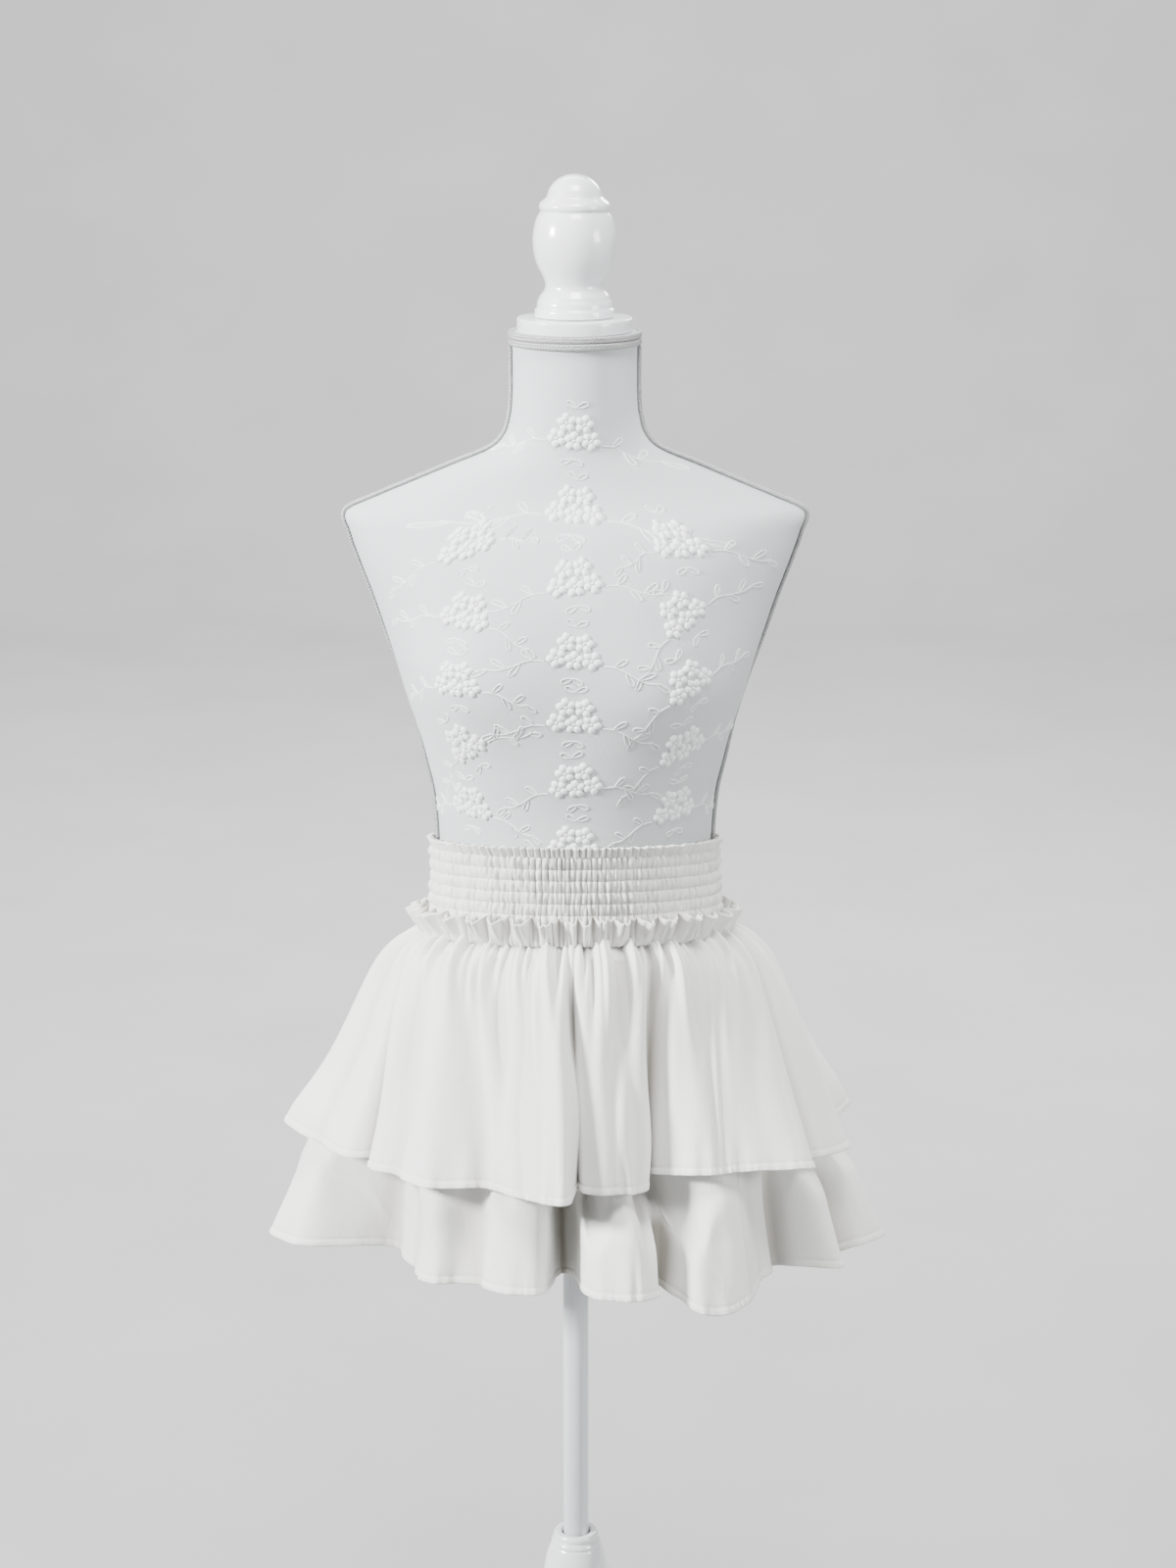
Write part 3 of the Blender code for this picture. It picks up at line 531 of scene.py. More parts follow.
# radius, height from the waist, from the top down
FINIAL_OUTLINE = (
    (0.0000, 0.5395), (0.0085, 0.5378), (0.0155, 0.5335), (0.0200, 0.5277), (0.0218, 0.5222),
    (0.0230, 0.5208), (0.0262, 0.5182), (0.0279, 0.5158), (0.0280, 0.5128), (0.0268, 0.5112),
    (0.0305, 0.5040), (0.0328, 0.4940), (0.0330, 0.4850), (0.0316, 0.4750), (0.0285, 0.4665),
    (0.0252, 0.4602), (0.0233, 0.4545), (0.0240, 0.4500), (0.0275, 0.4452), (0.0285, 0.4425),
    (0.0297, 0.4400), (0.0300, 0.4360), (0.0316, 0.4345), (0.0320, 0.4288), (0.0000, 0.4288),
)
DISC_OUTLINE = (
    (0.0000, 0.4282), (0.0445, 0.4282), (0.0455, 0.4278), (0.0459, 0.4268), (0.0459, 0.4188),
    (0.0455, 0.4178), (0.0445, 0.4172), (0.0000, 0.4172),
)
EDGE_BEVEL = 0.0004
SHARP_DEGREES, SMOOTH_DEGREES = 30, 35        # bevelled above the first, shaded to the second


def curved_outline(outline, steps=4):
    """The outline with more points between its corners, on a smooth curve."""
    points = [Vector(p) for p in outline]
    last = len(points) - 1
    corner = [True] * len(points)
    for i in range(1, last):
        bend = (points[i] - points[i - 1]).angle(points[i + 1] - points[i])
        corner[i] = math.degrees(bend) > CORNER_DEGREES
    full = []
    for i in range(last):
        a, b = points[i], points[i + 1]
        leave = b - a if corner[i] else (b - points[i - 1]) / 2
        reach = b - a if corner[i + 1] else (points[i + 2] - a) / 2
        size = (b - a).length
        leave, reach = leave.normalized() * size, reach.normalized() * size
        count = 1 if corner[i] and corner[i + 1] else steps
        for k in range(count):
            t = k / count
            full.append(
                a * (1 + 2 * t) * (1 - t) ** 2 + b * (3 - 2 * t) * t ** 2
                + leave * t * (1 - t) ** 2 - reach * t ** 2 * (1 - t)
            )
    return [*full, points[-1]]


def on_the_lathe(name, outline, base_z, finish, node):
    """A disc drawn out ring by ring along an outline, as a gouge leaves it."""
    rings = [p for p in curved_outline(outline) if p.x > 1e-5]
    bpy.ops.object.select_all(action="DESELECT")
    bpy.ops.mesh.primitive_circle_add(
        vertices=TURNED_SIDES, radius=rings[0].x, fill_type="NGON",
        location=(0, 0, base_z + rings[0].y),
    )
    made = bpy.context.object
    made.name = made.data.name = name
    bpy.ops.object.mode_set(mode="EDIT")
    bpy.ops.mesh.select_all(action="SELECT")
    for before, ring in zip(rings, rings[1:]):
        bpy.ops.mesh.extrude_region_move(
            TRANSFORM_OT_translate={"value": (0, 0, ring.y - before.y)}
        )
        share = ring.x / before.x
        bpy.ops.transform.resize(
            value=(share, share, 1), center_override=(0, 0, base_z + ring.y)
        )
    bpy.ops.mesh.select_all(action="SELECT")
    bpy.ops.mesh.normals_make_consistent(inside=False)
    bpy.ops.object.mode_set(mode="OBJECT")
    finished_piece(made, finish, node, EDGE_BEVEL, 2)


def select_only(made):
    bpy.ops.object.select_all(action="DESELECT")
    bpy.context.view_layer.objects.active = made
    made.select_set(True)


def finished_piece(made, finish, node, bevel, segments):
    """Softens the edges, puts the piece at the origin and rides it on the stand."""
    select_only(made)
    softened = made.modifiers.new("softened", "BEVEL")
    softened.width, softened.segments = bevel, segments
    softened.limit_method, softened.angle_limit = "ANGLE", math.radians(SHARP_DEGREES)
    bpy.ops.object.modifier_apply(modifier=softened.name)
    bpy.ops.object.transform_apply(location=True, rotation=True, scale=True)
    bpy.ops.object.shade_smooth_by_angle(angle=math.radians(SMOOTH_DEGREES))
    made.data.materials.clear()
    made.data.materials.append(finish.material)
    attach(made, "root")
    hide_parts(node)


gloss_white = Finish("gloss_white", Coat_Roughness=0.08, Specular_IOR_Level=0.5)
brush = gloss_white.place()
runs = gloss_white.speckle(gloss_white.stretched(brush, (60, 60, 18)), 1.0, 2.0)
peel = gloss_white.speckle(brush, 420.0, 1.0)
gloss_white.use(
    Base_Color=gloss_white.tones(runs, (0.80, 0.82, 0.84), (0.90, 0.91, 0.92)),
    Roughness=runs * 0.10 + 0.20,
    Coat_Weight=runs * 0.2 + 0.55,
)
gloss_white.raised(peel + runs * 2.0, 0.00018, 0.35)

on_the_lathe("finial_turned", FINIAL_OUTLINE, WAIST_Z, gloss_white, "finial")
on_the_lathe("neck_disc", DISC_OUTLINE, WAIST_Z, gloss_white, "neck_cap")

# ----------------------------------------
# Pole. A welded steel tube, enamelled in a cool white, runs up from the turned column into
# the form. Its weld shows as a fine straight line down one side.
POLE_RADIUS = 0.0110
POLE_BOTTOM, POLE_TOP = 0.3453, WAIST_Z - 0.2153
POLE_WALL, POLE_BORE, POLE_BEVEL = 0.0014, 0.010, 0.0006
WELD_ANGLE = math.radians(246)
WELD_SHARE = 0.035         # how far round the weld line spreads, in radians

pole_enamel = Finish("pole_enamel", Coat_Roughness=0.12, Specular_IOR_Level=0.5)
x, y, z = pole_enamel.axes(pole_enamel.place())
off_weld = (x * (math.sin(WELD_ANGLE) / POLE_RADIUS) - y * (math.cos(WELD_ANGLE) / POLE_RADIUS))
near_side = x * math.cos(WELD_ANGLE) + y * math.sin(WELD_ANGLE)
weld = (1 - (off_weld * off_weld) / WELD_SHARE ** 2).clipped(0, 1)
weld = weld * (near_side * 1000).clipped(0, 1)
drawn = pole_enamel.speckle(
    pole_enamel.stretched(pole_enamel.place(), (500, 500, 5)), 1.0, 2.0
)
pole_enamel.use(
    Base_Color=pole_enamel.tones(
        drawn * 0.5 - weld * 0.4 + 0.25, (0.58, 0.60, 0.63), (0.80, 0.82, 0.84)
    ),
    Roughness=drawn * 0.12 + 0.24,
    Coat_Weight=drawn * 0.1 + 0.4,
)
pole_enamel.raised(drawn * 0.3 - weld, 0.00030, 0.6)

bpy.ops.object.select_all(action="DESELECT")
bpy.ops.mesh.primitive_cylinder_add(
    vertices=TURNED_SIDES, radius=POLE_RADIUS, depth=POLE_TOP - POLE_BOTTOM,
    location=(0, 0, (POLE_TOP + POLE_BOTTOM) / 2),
)
pole = bpy.context.object
pole.name = pole.data.name = "pole_tube"
bpy.ops.object.mode_set(mode="EDIT")
bpy.ops.mesh.select_mode(type="FACE")
bpy.ops.mesh.select_all(action="DESELECT")
shape = bmesh.from_edit_mesh(pole.data)
for face in shape.faces:
    face.select_set(face.normal.z < -0.5)
bmesh.update_edit_mesh(pole.data)
bpy.ops.mesh.inset(thickness=POLE_WALL)
bpy.ops.mesh.extrude_region_move(TRANSFORM_OT_translate={"value": (0, 0, POLE_BORE)})
bpy.ops.object.mode_set(mode="OBJECT")
finished_piece(pole, pole_enamel, "pole", POLE_BEVEL, 2)

# ----------------------------------------
# Column. The same white gloss on turned beech: a socket for the pole at the top, an egg,
# beads, a straight stretch where the legs are bolted on, and a small drop at the bottom.
SOCKET_FLOOR_Z, SOCKET_RADIUS, COLUMN_RADIUS = 0.345, 0.0122, 0.0285
COLUMN_OUTLINE = (
    (0.0000, SOCKET_FLOOR_Z), (SOCKET_RADIUS, SOCKET_FLOOR_Z), (SOCKET_RADIUS, 0.3800),
    (0.0135, 0.3815), (0.0178, 0.3815), (0.0193, 0.3795), (0.0195, 0.3770), (0.0186, 0.3758),
    (0.0205, 0.3740), (0.0217, 0.3718), (0.0208, 0.3700), (0.0222, 0.3680), (0.0255, 0.3590),
    (0.0283, 0.3440), (0.0300, 0.3250), (0.0292, 0.3050), (0.0255, 0.2820), (0.0215, 0.2620),
    (0.0200, 0.2480), (0.0250, 0.2440), (0.0270, 0.2400), (0.0270, 0.2360), (0.0245, 0.2320),
    (COLUMN_RADIUS, 0.2260), (COLUMN_RADIUS, 0.1300), (0.0250, 0.1260), (0.0180, 0.1190),
    (0.0215, 0.1100), (0.0200, 0.1000), (0.0120, 0.0930), (0.0000, 0.0910),
)
on_the_lathe("column_turned", COLUMN_OUTLINE, 0.0, gloss_white, "column")

# ----------------------------------------
# Three cabriole legs. Each is sawn from a plank, its edges are rounded over, and it is
# bolted to the straight stretch of the column. Its flat toe stands on the floor.
LEG_ROUNDING, ROUNDING_STEPS = 0.0035, 4
MERGE_WITHIN, FLAT_DEGREES = 0.00002, 1       # facets of one flat side are made one again

for number in (1, 2, 3):
    node = f"leg_{number}"
    leg = bpy.data.objects[node].copy()
    leg.data = bpy.data.objects[node].data.copy()
    leg.name = leg.data.name = f"cabriole_{node}"
    bpy.context.scene.collection.objects.link(leg)
    leg.hide_render = False
    select_only(leg)
    bpy.ops.object.mode_set(mode="EDIT")
    bpy.ops.mesh.select_all(action="SELECT")
    bpy.ops.mesh.remove_doubles(threshold=MERGE_WITHIN)
    bpy.ops.mesh.dissolve_limited(angle_limit=math.radians(FLAT_DEGREES))
    bpy.ops.object.mode_set(mode="OBJECT")
    finished_piece(leg, gloss_white, node, LEG_ROUNDING, ROUNDING_STEPS)

# ----------------------------------------
# Smocked waistband. A tube of the skirt's cotton, shirred on eight rows of fine elastic so
# that it puffs between them, with a short frill left above the highest row.
GARMENT_TILT = 0.17        # the skort rides up at the front
HALVES = (("front", 146.0), ("back", 326.0))  # each starts at a side seam, in degrees
BAND_BOTTOM, BAND_TOP_ROW, BAND_FRILL, BAND_OUT = -0.0795, -0.0060, 0.0085, 0.0052
ELASTICS, ELASTIC_STEP, ELASTIC_PULL = 8, 0.0096, 0.0005
BAND_COLUMNS = 400
PUFF = 0.0009              # how far the cloth puffs out between two elastics
GATHER_DEPTH = 0.0044
GATHER_PITCH = 2.7         # degrees between gathers
FRILL_LEAN, FRILL_WAVE = 0.0026, (0.0014, 0.0024)
SEAM_CALM = 3.0            # degrees over which the gathers settle towards a side seam
CLOTH_WALL = 0.0011


def garment_ring(angle, level, out):
    """Reach and height of a tilted ring round the form, a distance out from its skin."""
    z = level
    for _ in range(5):
        radius = form_radius(angle, z) + out
        z = level - GARMENT_TILT * radius * np.sin(angle)
    return radius, z


def ruffled(across, seed, pitch, sharpness=1.0):
    """Uneven ridges and hollows along a row, from -1 to 1, with a mean pitch."""
    rng = np.random.default_rng(seed)
    low, high = across.min() - 3 * pitch, across.max() + 3 * pitch
    marks, spot = [], low
    while spot < high:
        marks.append(spot)
        spot += pitch * rng.uniform(0.55, 1.45)
    marks = np.array(marks)
    heights = rng.uniform(0.45, 1.0, len(marks))
    place = np.interp(across, marks, np.arange(len(marks)))
    wave = np.cos(2 * np.pi * place)
    wave = np.sign(wave) * np.abs(wave) ** sharpness
    return wave * np.interp(across, marks, heights)


def outward_of(points):
    """Unit normals of a grid whose rows run upwards and points anticlockwise."""
    return unit(np.cross(np.gradient(points, axis=1), np.gradient(points, axis=0)))


def mark_painted_fold_shade(made, points, across_span, full_depth):
    """Stores how deep in a fold each point lies, from 0 to 1, where the cotton is painted darker as
    shade.
    """
    evened = points
    for _ in range(2):
        padded = np.pad(evened, ((0, 0), (across_span, across_span), (0, 0)), mode="edge")
        sums = np.cumsum(np.pad(padded, ((0, 0), (1, 0), (0, 0))), axis=1)
        window = 2 * across_span + 1
        evened = (sums[:, window:] - sums[:, :-window]) / window
    depth = np.einsum("ijk,ijk->ij", evened - points, outward_of(evened))
    painted_shade_depth = made.data.attributes.new("painted_shade_depth", "FLOAT", "POINT")
    painted_shade_depth.data.foreach_set("value", np.clip(depth / full_depth, 0, 1).astype(np.float32).ravel())


def calm_at_seams(degrees, over):
    """Nothing at the side seams and 1 a little way from them."""
    return np.clip(np.minimum(degrees - degrees[0], degrees[-1] - degrees) / over, 0, 1)


def cloth_piece(name, points, finish, slot, flat_across, flat_up):
    """A piece of cloth from its middle surface and its points' places on the flat."""
    cloth = np.stack(np.broadcast_arrays(flat_across, flat_up), axis=-1)
    made = skin_grid(name, points, finish, slot, cloth=cloth)
    wall = made.modifiers.new("wall", "SOLIDIFY")
    wall.thickness, wall.offset, wall.use_rim = CLOTH_WALL, 0.0, True
    return made


def plain_cotton(name, low, high, shade, sheen, weave_height, puckers=0.0):
    """Plain-woven ivory cotton. The threads follow the cloth, with slubs along both ways. Deep in
    the folds its colour is mixed towards the shade colour, as painted shade.
    """
    cotton = Finish(name, Sheen_Weight=sheen, Sheen_Roughness=0.45, Specular_IOR_Level=0.35)
    place = cotton.cloth_place()
    warp = cotton.speckle(cotton.stretched(place, (2200, 160, 1)), 1.0, 1.0)
    weft = cotton.speckle(cotton.stretched(place, (160, 2200, 1)), 1.0, 1.0)
    slub = cotton.speckle(cotton.stretched(place, (900, 25, 1)), 1.0, 2.0)
    handling = cotton.speckle(cotton.place(), 9.0, 3.0)
    tone = warp * 0.2 + weft * 0.2 + slub * 0.25 + handling * 0.35
    # Painted shade: the colour is mixed towards the shade colour by how deep in a fold each point
    # lies.
    painted_shade_depth = cotton.node("ShaderNodeAttribute", {"attribute_name": "painted_shade_depth"}, {}, "Fac")
    cotton.use(
        Base_Color=cotton.mixed(cotton.tones(tone, low, high), shade, painted_shade_depth),
        Roughness=handling * 0.12 + 0.66,
    )
    crumple = cotton.speckle(cotton.place(), 60.0, 3.0)
    cotton.raised(warp + weft + slub * 0.8 + crumple * puckers, weave_height, 0.7)
    return cotton


# The third colour is painted shade, laid into the deepest gathers.
smocked_cotton = plain_cotton(
    "smocked_cotton", (0.79, 0.79, 0.765), (0.93, 0.93, 0.915), (0.36, 0.345, 0.31), 0.15, 0.0003
)

for side_name, start in HALVES:
    degrees = np.linspace(start, start + 180, BAND_COLUMNS)
    elastics = BAND_TOP_ROW - ELASTIC_STEP * np.arange(ELASTICS)
    levels = [BAND_BOTTOM + 0.0003, -0.0770, -0.0750]
    for elastic in elastics[::-1]:
        levels += [elastic - 0.0008, elastic, elastic + 0.0008]
        if elastic < BAND_TOP_ROW - 1e-6:
            levels += [elastic + ELASTIC_STEP * s for s in (0.2, 0.36, 0.5, 0.64, 0.8)]
    levels += [BAND_TOP_ROW + BAND_FRILL * s for s in (0.25, 0.45, 0.65, 0.85, 1.0)]
    levels = np.array(sorted(levels))
    rows = np.floor((levels - elastics[-1]) / ELASTIC_STEP)
    share = (levels - elastics[-1]) / ELASTIC_STEP - rows
    away = np.abs(np.sin(np.pi * share))          # 0 on an elastic, 1 midway between two
    frill = np.clip((levels - BAND_TOP_ROW) / BAND_FRILL, 0, 1)
    angle = np.radians(degrees)[None, :]
    calm = calm_at_seams(degrees, SEAM_CALM)
    shared = ruffled(degrees, 5 + int(start), GATHER_PITCH, 0.8)
    grid_rows = []
    for k, level in enumerate(levels):
        own = ruffled(degrees, 70 + int(rows[k]) + int(start), GATHER_PITCH, 0.8)
        under = ruffled(degrees, 71 + int(rows[k]) + int(start), GATHER_PITCH, 0.8)
        mix = own * (1 - share[k]) + under * share[k]
        fold = 0.50 * shared + 0.50 * mix
        fine = 0.35 * ruffled(degrees, 200 + int(rows[k]), GATHER_PITCH / 2.3)
        depth = GATHER_DEPTH * (0.55 + 0.45 * away[k])
        puff = PUFF * away[k] ** 0.8 - ELASTIC_PULL * (away[k] < 0.05)
        out = BAND_OUT + puff + (fold + fine) * depth * calm * 0.8
        if frill[k] > 0:
            flare = ruffled(degrees, 400 + int(start), GATHER_PITCH * 1.15)
            wave = FRILL_WAVE[0] + FRILL_WAVE[1] * frill[k]
            out = BAND_OUT + FRILL_LEAN * frill[k] ** 0.8 + flare * calm * wave
        radius, z = garment_ring(angle, level, out[None, :])
        rise = 0.0008 * frill[k] * ruffled(degrees, 500, GATHER_PITCH * 2)[None, :]
        grid_rows.append(polar(angle, radius, z + rise)[0])
    points = np.array(grid_rows)
    flat_across = np.radians(degrees - start) * 0.1 * 2.0
    band = cloth_piece(
        f"smocked_band_{side_name}", points, smocked_cotton, "smocked_cloth",
        flat_across[None, :], levels[:, None],
    )
    # Painted shade: the band is darkened deep in its gathers.
    mark_painted_fold_shade(band, points, 3, 0.0022)
    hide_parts(f"waistband_{side_name}")

# ----------------------------------------
# Heading. The skirt's own raw-turned top edge stands up above the gather seam as a loose
# frill: wide flat stretches between tight little gathers, leaning outwards unevenly.
HEADING_OUT, HEADING_HEIGHT = 0.0086, 0.0225
HEADING_FLARE, HEADING_WAVE, HEADING_FLUTES = 0.0122, 0.0078, 25
HEADING_SHARES = (0.14, 0.92, 0.26)           # of the wave: broad, loose and crimped
TIGHT_GATHERS, SEAM_PINCH = 0.0020, 0.0022
HEADING_COLUMNS = 560
# angle, width in degrees, extra lean outwards and extra height, where the frill rolls over
HEADING_CURLS = (
    (318.0, 4.0, 0.0050, 0.0015), (206.0, 5.0, 0.0028, 0.0012), (232.0, 4.0, -0.0030, 0.0010),
    (256.0, 3.0, 0.0030, -0.0010), (281.0, 4.5, -0.0030, 0.0012), (300.0, 3.0, 0.0026, 0.0),
    (184.0, 4.0, -0.0026, 0.0010), (30.0, 5.0, 0.0030, 0.0010), (75.0, 4.0, -0.0028, 0.0012),
    (112.0, 5.0, 0.0030, 0.0), (350.0, 4.0, -0.0020, 0.0012),
)

# The third colour is painted shade, laid into the deepest folds.
ivory_cotton = plain_cotton(
    "ivory_cotton", (0.77, 0.765, 0.735), (0.93, 0.93, 0.91), (0.38, 0.36, 0.32), 0.22, 0.00028, 0.6
)

for side_name, start in HALVES:
    degrees = np.linspace(start, start + 180, HEADING_COLUMNS)
    angle = np.radians(degrees)
    calm = calm_at_seams(degrees, SEAM_CALM)
    broad = np.sin(HEADING_FLUTES * angle + 1.7 * np.sin(3 * angle))
    broad = np.sign(broad) * np.abs(broad) ** 0.7
    tight = ruffled(degrees, 31 + int(start), 2.4, 0.8)
    loose = ruffled(degrees, 37 + int(start), 8.5)
    crimp = ruffled(degrees, 41 + int(start), 3.4)
    waves = sum(share * wave for share, wave in zip(HEADING_SHARES, (broad, loose, crimp)))
    grid_rows, heights = [], np.concatenate([[0.0, 0.04, 0.09], np.linspace(0.15, 1.0, 15)])
    for t in heights:
        out = HEADING_OUT + HEADING_FLARE * t ** 0.8 + HEADING_WAVE * waves * t ** 0.7
        out = out + tight * calm * TIGHT_GATHERS * math.exp(-(t / 0.45) ** 2)
        out = out - SEAM_PINCH * math.exp(-(t / 0.05) ** 2)
        level = BAND_BOTTOM + HEADING_HEIGHT * t
        for at, wide, lean, lift in HEADING_CURLS:
            near = np.exp(-(((degrees - at + 180) % 360 - 180) / wide) ** 2)
            out = out + near * lean * t ** 2
            level = level + near * lift * t ** 2
        level = level + 0.0012 * t * ruffled(degrees, 53, 9.0)
        level = level - 0.0030 * t * loose - 0.0011 * t * crimp
        radius, z = garment_ring(angle, level, out)
        grid_rows.append(polar(angle, radius, z))
    points = np.array(grid_rows)
    flat_across = np.radians(degrees - start) * 0.12 * 1.5
    frill = cloth_piece(
        f"heading_frill_{side_name}", points, ivory_cotton, "skirt_cloth",
        flat_across[None, :], heights[:, None] * HEADING_HEIGHT,
    )
    # Painted shade: the frill is darkened deep in its flutes.
    mark_painted_fold_shade(frill, points, 14, 0.0060)
    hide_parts(f"heading_{side_name}")

# ----------------------------------------
# Upper tier. Two flared panels of ivory cotton, gathered tightly into the band and seamed at
# the sides. They fall in a few broad flat panels between deep folds, to a narrow sewn hem.
# Hem reach follows an ellipse (side, front and back). Each fold row gives its angle at the
# gathers, how far its hem swings from there, its reach and its lift at the hem.
UPPER = {
    "out": 0.0086, "side": 0.228, "front": 0.178, "hem_z": -0.259, "hem_tilt": 0.09,
    "folds": (
        (4, -15, 0.229, 0), (10, -11, 0.207, 0.004), (18, -6, 0.240, 0.018),
        (28, -2, 0.212, 0.006), (39, -1, 0.224, 0.002), (50, 0, 0.186, -0.002), (61, 0, 0.203, 0),
        (73, 0, 0.168, -0.002), (84, 0, 0.187, 0), (95, 0, 0.163, -0.002), (106, 0, 0.184, 0),
        (117, 0, 0.166, -0.002), (128, 0, 0.201, 0.002), (139, 0, 0.174, 0),
        (150, 0, 0.216, 0.002), (161, 0, 0.198, 0), (172, 0, 0.233, 0.004),
        (178, 0, 0.238, 0.004), (183, 4, 0.214, 0), (187, 9, 0.206, 0), (190, 12, 0.198, 0),
        (193, 13, 0.166, 0), (196, 14, 0.196, 0), (204, 15, 0.190, 0), (216, 16, 0.197, 0),
        (230, 16, 0.173, 0), (246, 12, 0.193, 0), (260, 6, 0.205, 0), (264.5, 4, 0.198, 0),
        (268.5, 2.5, 0.140, 0), (273, 1.5, 0.171, 0), (284, -3, 0.177, 0), (298, -10, 0.176, 0),
        (305, -12, 0.138, 0.002), (311, -13, 0.174, 0.010), (321, -17, 0.198, 0.013),
        (330, -21, 0.199, 0.012), (338, -23, 0.214, 0.013), (345, -24, 0.233, 0.013),
        (350, -24.5, 0.236, 0.011), (354, -23, 0.200, 0.004), (359, -18, 0.214, 0),
    ),
}
SPRING_SHARE, SPRING_DROP, FOLD_EASE = 0.24, 0.06, 0.80
TIER_COLUMNS = 470
HEM_DEEP = 0.0062
PANEL_CALM = 2.0           # degrees over which the relief settles towards a side seam
STITCH_LONG, STITCH_STEP, STITCH_WIDE, STITCH_HIGH = 0.0021, 0.0030, 0.00050, 0.00030
STITCH_SUNK = 0.0002       # how deep a stitch's edges lie in the cloth
# shares of a stitch's length and height
STITCH_PROFILE = ((-0.5, 0.25), (-0.3, 0.9), (0.3, 0.9), (0.5, 0.25))


def fold_value(folds, column, roots):
    """A column of a fold table, all round the garment."""
    before = [(row[0] - 360, *row[1:]) for row in folds[-3:]]
    after = [(row[0] + 360, *row[1:]) for row in folds[:3]]
    return table_value([*before, *folds, *after], column, roots % 360)


def tier_points(tier, roots, t):
    """A tier's middle surface: roots are degrees at the gathers, t runs down to the hem."""
    swing, reach, lift = (fold_value(tier["folds"], column, roots) for column in (1, 2, 3))
    root, hem_angle = np.radians(roots), np.radians(roots + swing)
    radius, z = garment_ring(root, BAND_BOTTOM, tier["out"])
    seam = polar(root, radius, z)
    hem_z = tier["hem_z"] - tier["hem_tilt"] * reach * np.sin(hem_angle) + lift
    envelope = ellipse_radius(hem_angle, tier["side"], tier["front"], tier["front"])
    hem = polar(hem_angle, envelope, hem_z)
    t = np.asarray(t)[:, None, None]
    points = seam + (hem - seam) * t
    outward = unit(points * (1, 1, 0))
    spring = SPRING_SHARE * (1 - np.exp(-t / SPRING_DROP) - t)
    points += outward * spring * (envelope - radius)[None, :, None]
    hemward = np.stack([np.cos(hem_angle), np.sin(hem_angle), 0 * hem_angle], axis=-1)
    return points + hemward * t ** FOLD_EASE * (reach - envelope)[None, :, None]


def gather_puckers(roots, t, seed, pitch, depth, fall):
    """Small folds that run down from the gathers and die out at uneven lengths."""
    rng = np.random.default_rng(seed)
    marks, spot = [], roots[0] + 1.2
    while spot < roots[-1] - 1.2:
        marks.append(spot)
        spot += pitch * rng.uniform(0.6, 1.5)
    total = np.zeros((len(t), len(roots)))
    for at in marks:
        wide = pitch * rng.uniform(0.28, 0.42)
        deep = depth * rng.uniform(0.5, 1.3)
        long = fall * rng.uniform(0.45, 1.9)
        lean = rng.uniform(-9, 9)
        away = (roots[None, :] - at - lean * t[:, None]) / (wide * (1 + 2.2 * t[:, None]))
        total += deep * np.exp(-away ** 2) * np.exp(-(t[:, None] / long) ** 1.3)
    return total - total.mean(axis=1, keepdims=True)


def soft_swell(roots, t, seed, count, depth):
    """A few long, shallow swells and hollows, placed unevenly over a panel."""
    rng = np.random.default_rng(seed)
    total = np.zeros((len(t), len(roots)))
    for _ in range(count):
        at, low = rng.uniform(roots[0] + 6, roots[-1] - 6), rng.uniform(0.3, 1.0)
        wide, tall = rng.uniform(2.5, 7.0), rng.uniform(0.18, 0.45)
        away = ((roots[None, :] - at) / wide) ** 2 + ((t[:, None] - low) / tall) ** 2
        total += depth * rng.uniform(-1, 1) * np.exp(-away)
    return total


def press_creases(points, roots, t, creases):
    """Creases left by folding: root and share down of both ends, depth and half width."""
    total = np.zeros(points.shape[:2])
    for root_a, t_a, root_b, t_b, deep, wide in creases:
        root_a += 360 * (root_a < roots[0])
        root_b += 360 * (root_b < roots[0])
        if not (roots[0] < root_a < roots[-1] and roots[0] < root_b < roots[-1]):
            continue
        a = points[np.abs(t - t_a).argmin(), np.abs(roots - root_a).argmin()]
        b = points[np.abs(t - t_b).argmin(), np.abs(roots - root_b).argmin()]
        along = b - a
        share = ((points - a) @ along) / (along @ along)
        near = a + np.clip(share, 0, 1)[..., None] * along
        away = np.linalg.norm(points - near, axis=-1)
        fading = 1 - 0.5 * np.abs(2 * np.clip(share, 0, 1) - 1)
        total += deep * np.exp(-(away / wide) ** 2) * fading
    return total


def hem_rows(length, coarse):
    """Shares down the cloth, closer together over the hem and its stitching."""
    beside = 0.0012
    marks = np.array([
        0.020, 0.014, 0.010, HEM_DEEP + beside, HEM_DEEP, HEM_DEEP - beside, 0.003, beside, 0.0,
    ])
    return np.concatenate([coarse[coarse < 1 - 0.024 / length], 1 - marks / length])


def hem_relief(roots, t, length, seed):
    """The turned-up hem stands a little proud, with a stitched groove and a roped edge."""
    from_edge = (1 - t[:, None]) * length
    turned = 0.00045 * np.clip((HEM_DEEP - from_edge) / 0.0008, 0, 1)
    groove = -0.00042 * np.exp(-((from_edge - HEM_DEEP) / 0.0010) ** 2)
    roped = 0.00050 * ruffled(roots, seed, 2.6)[None, :] * np.exp(-(from_edge / 0.0085) ** 2)
    wavy = 0.0014 * ruffled(roots, seed + 1, 7.0)[None, :] * np.exp(-(from_edge / 0.030) ** 2)
    return turned + groove + roped + wavy


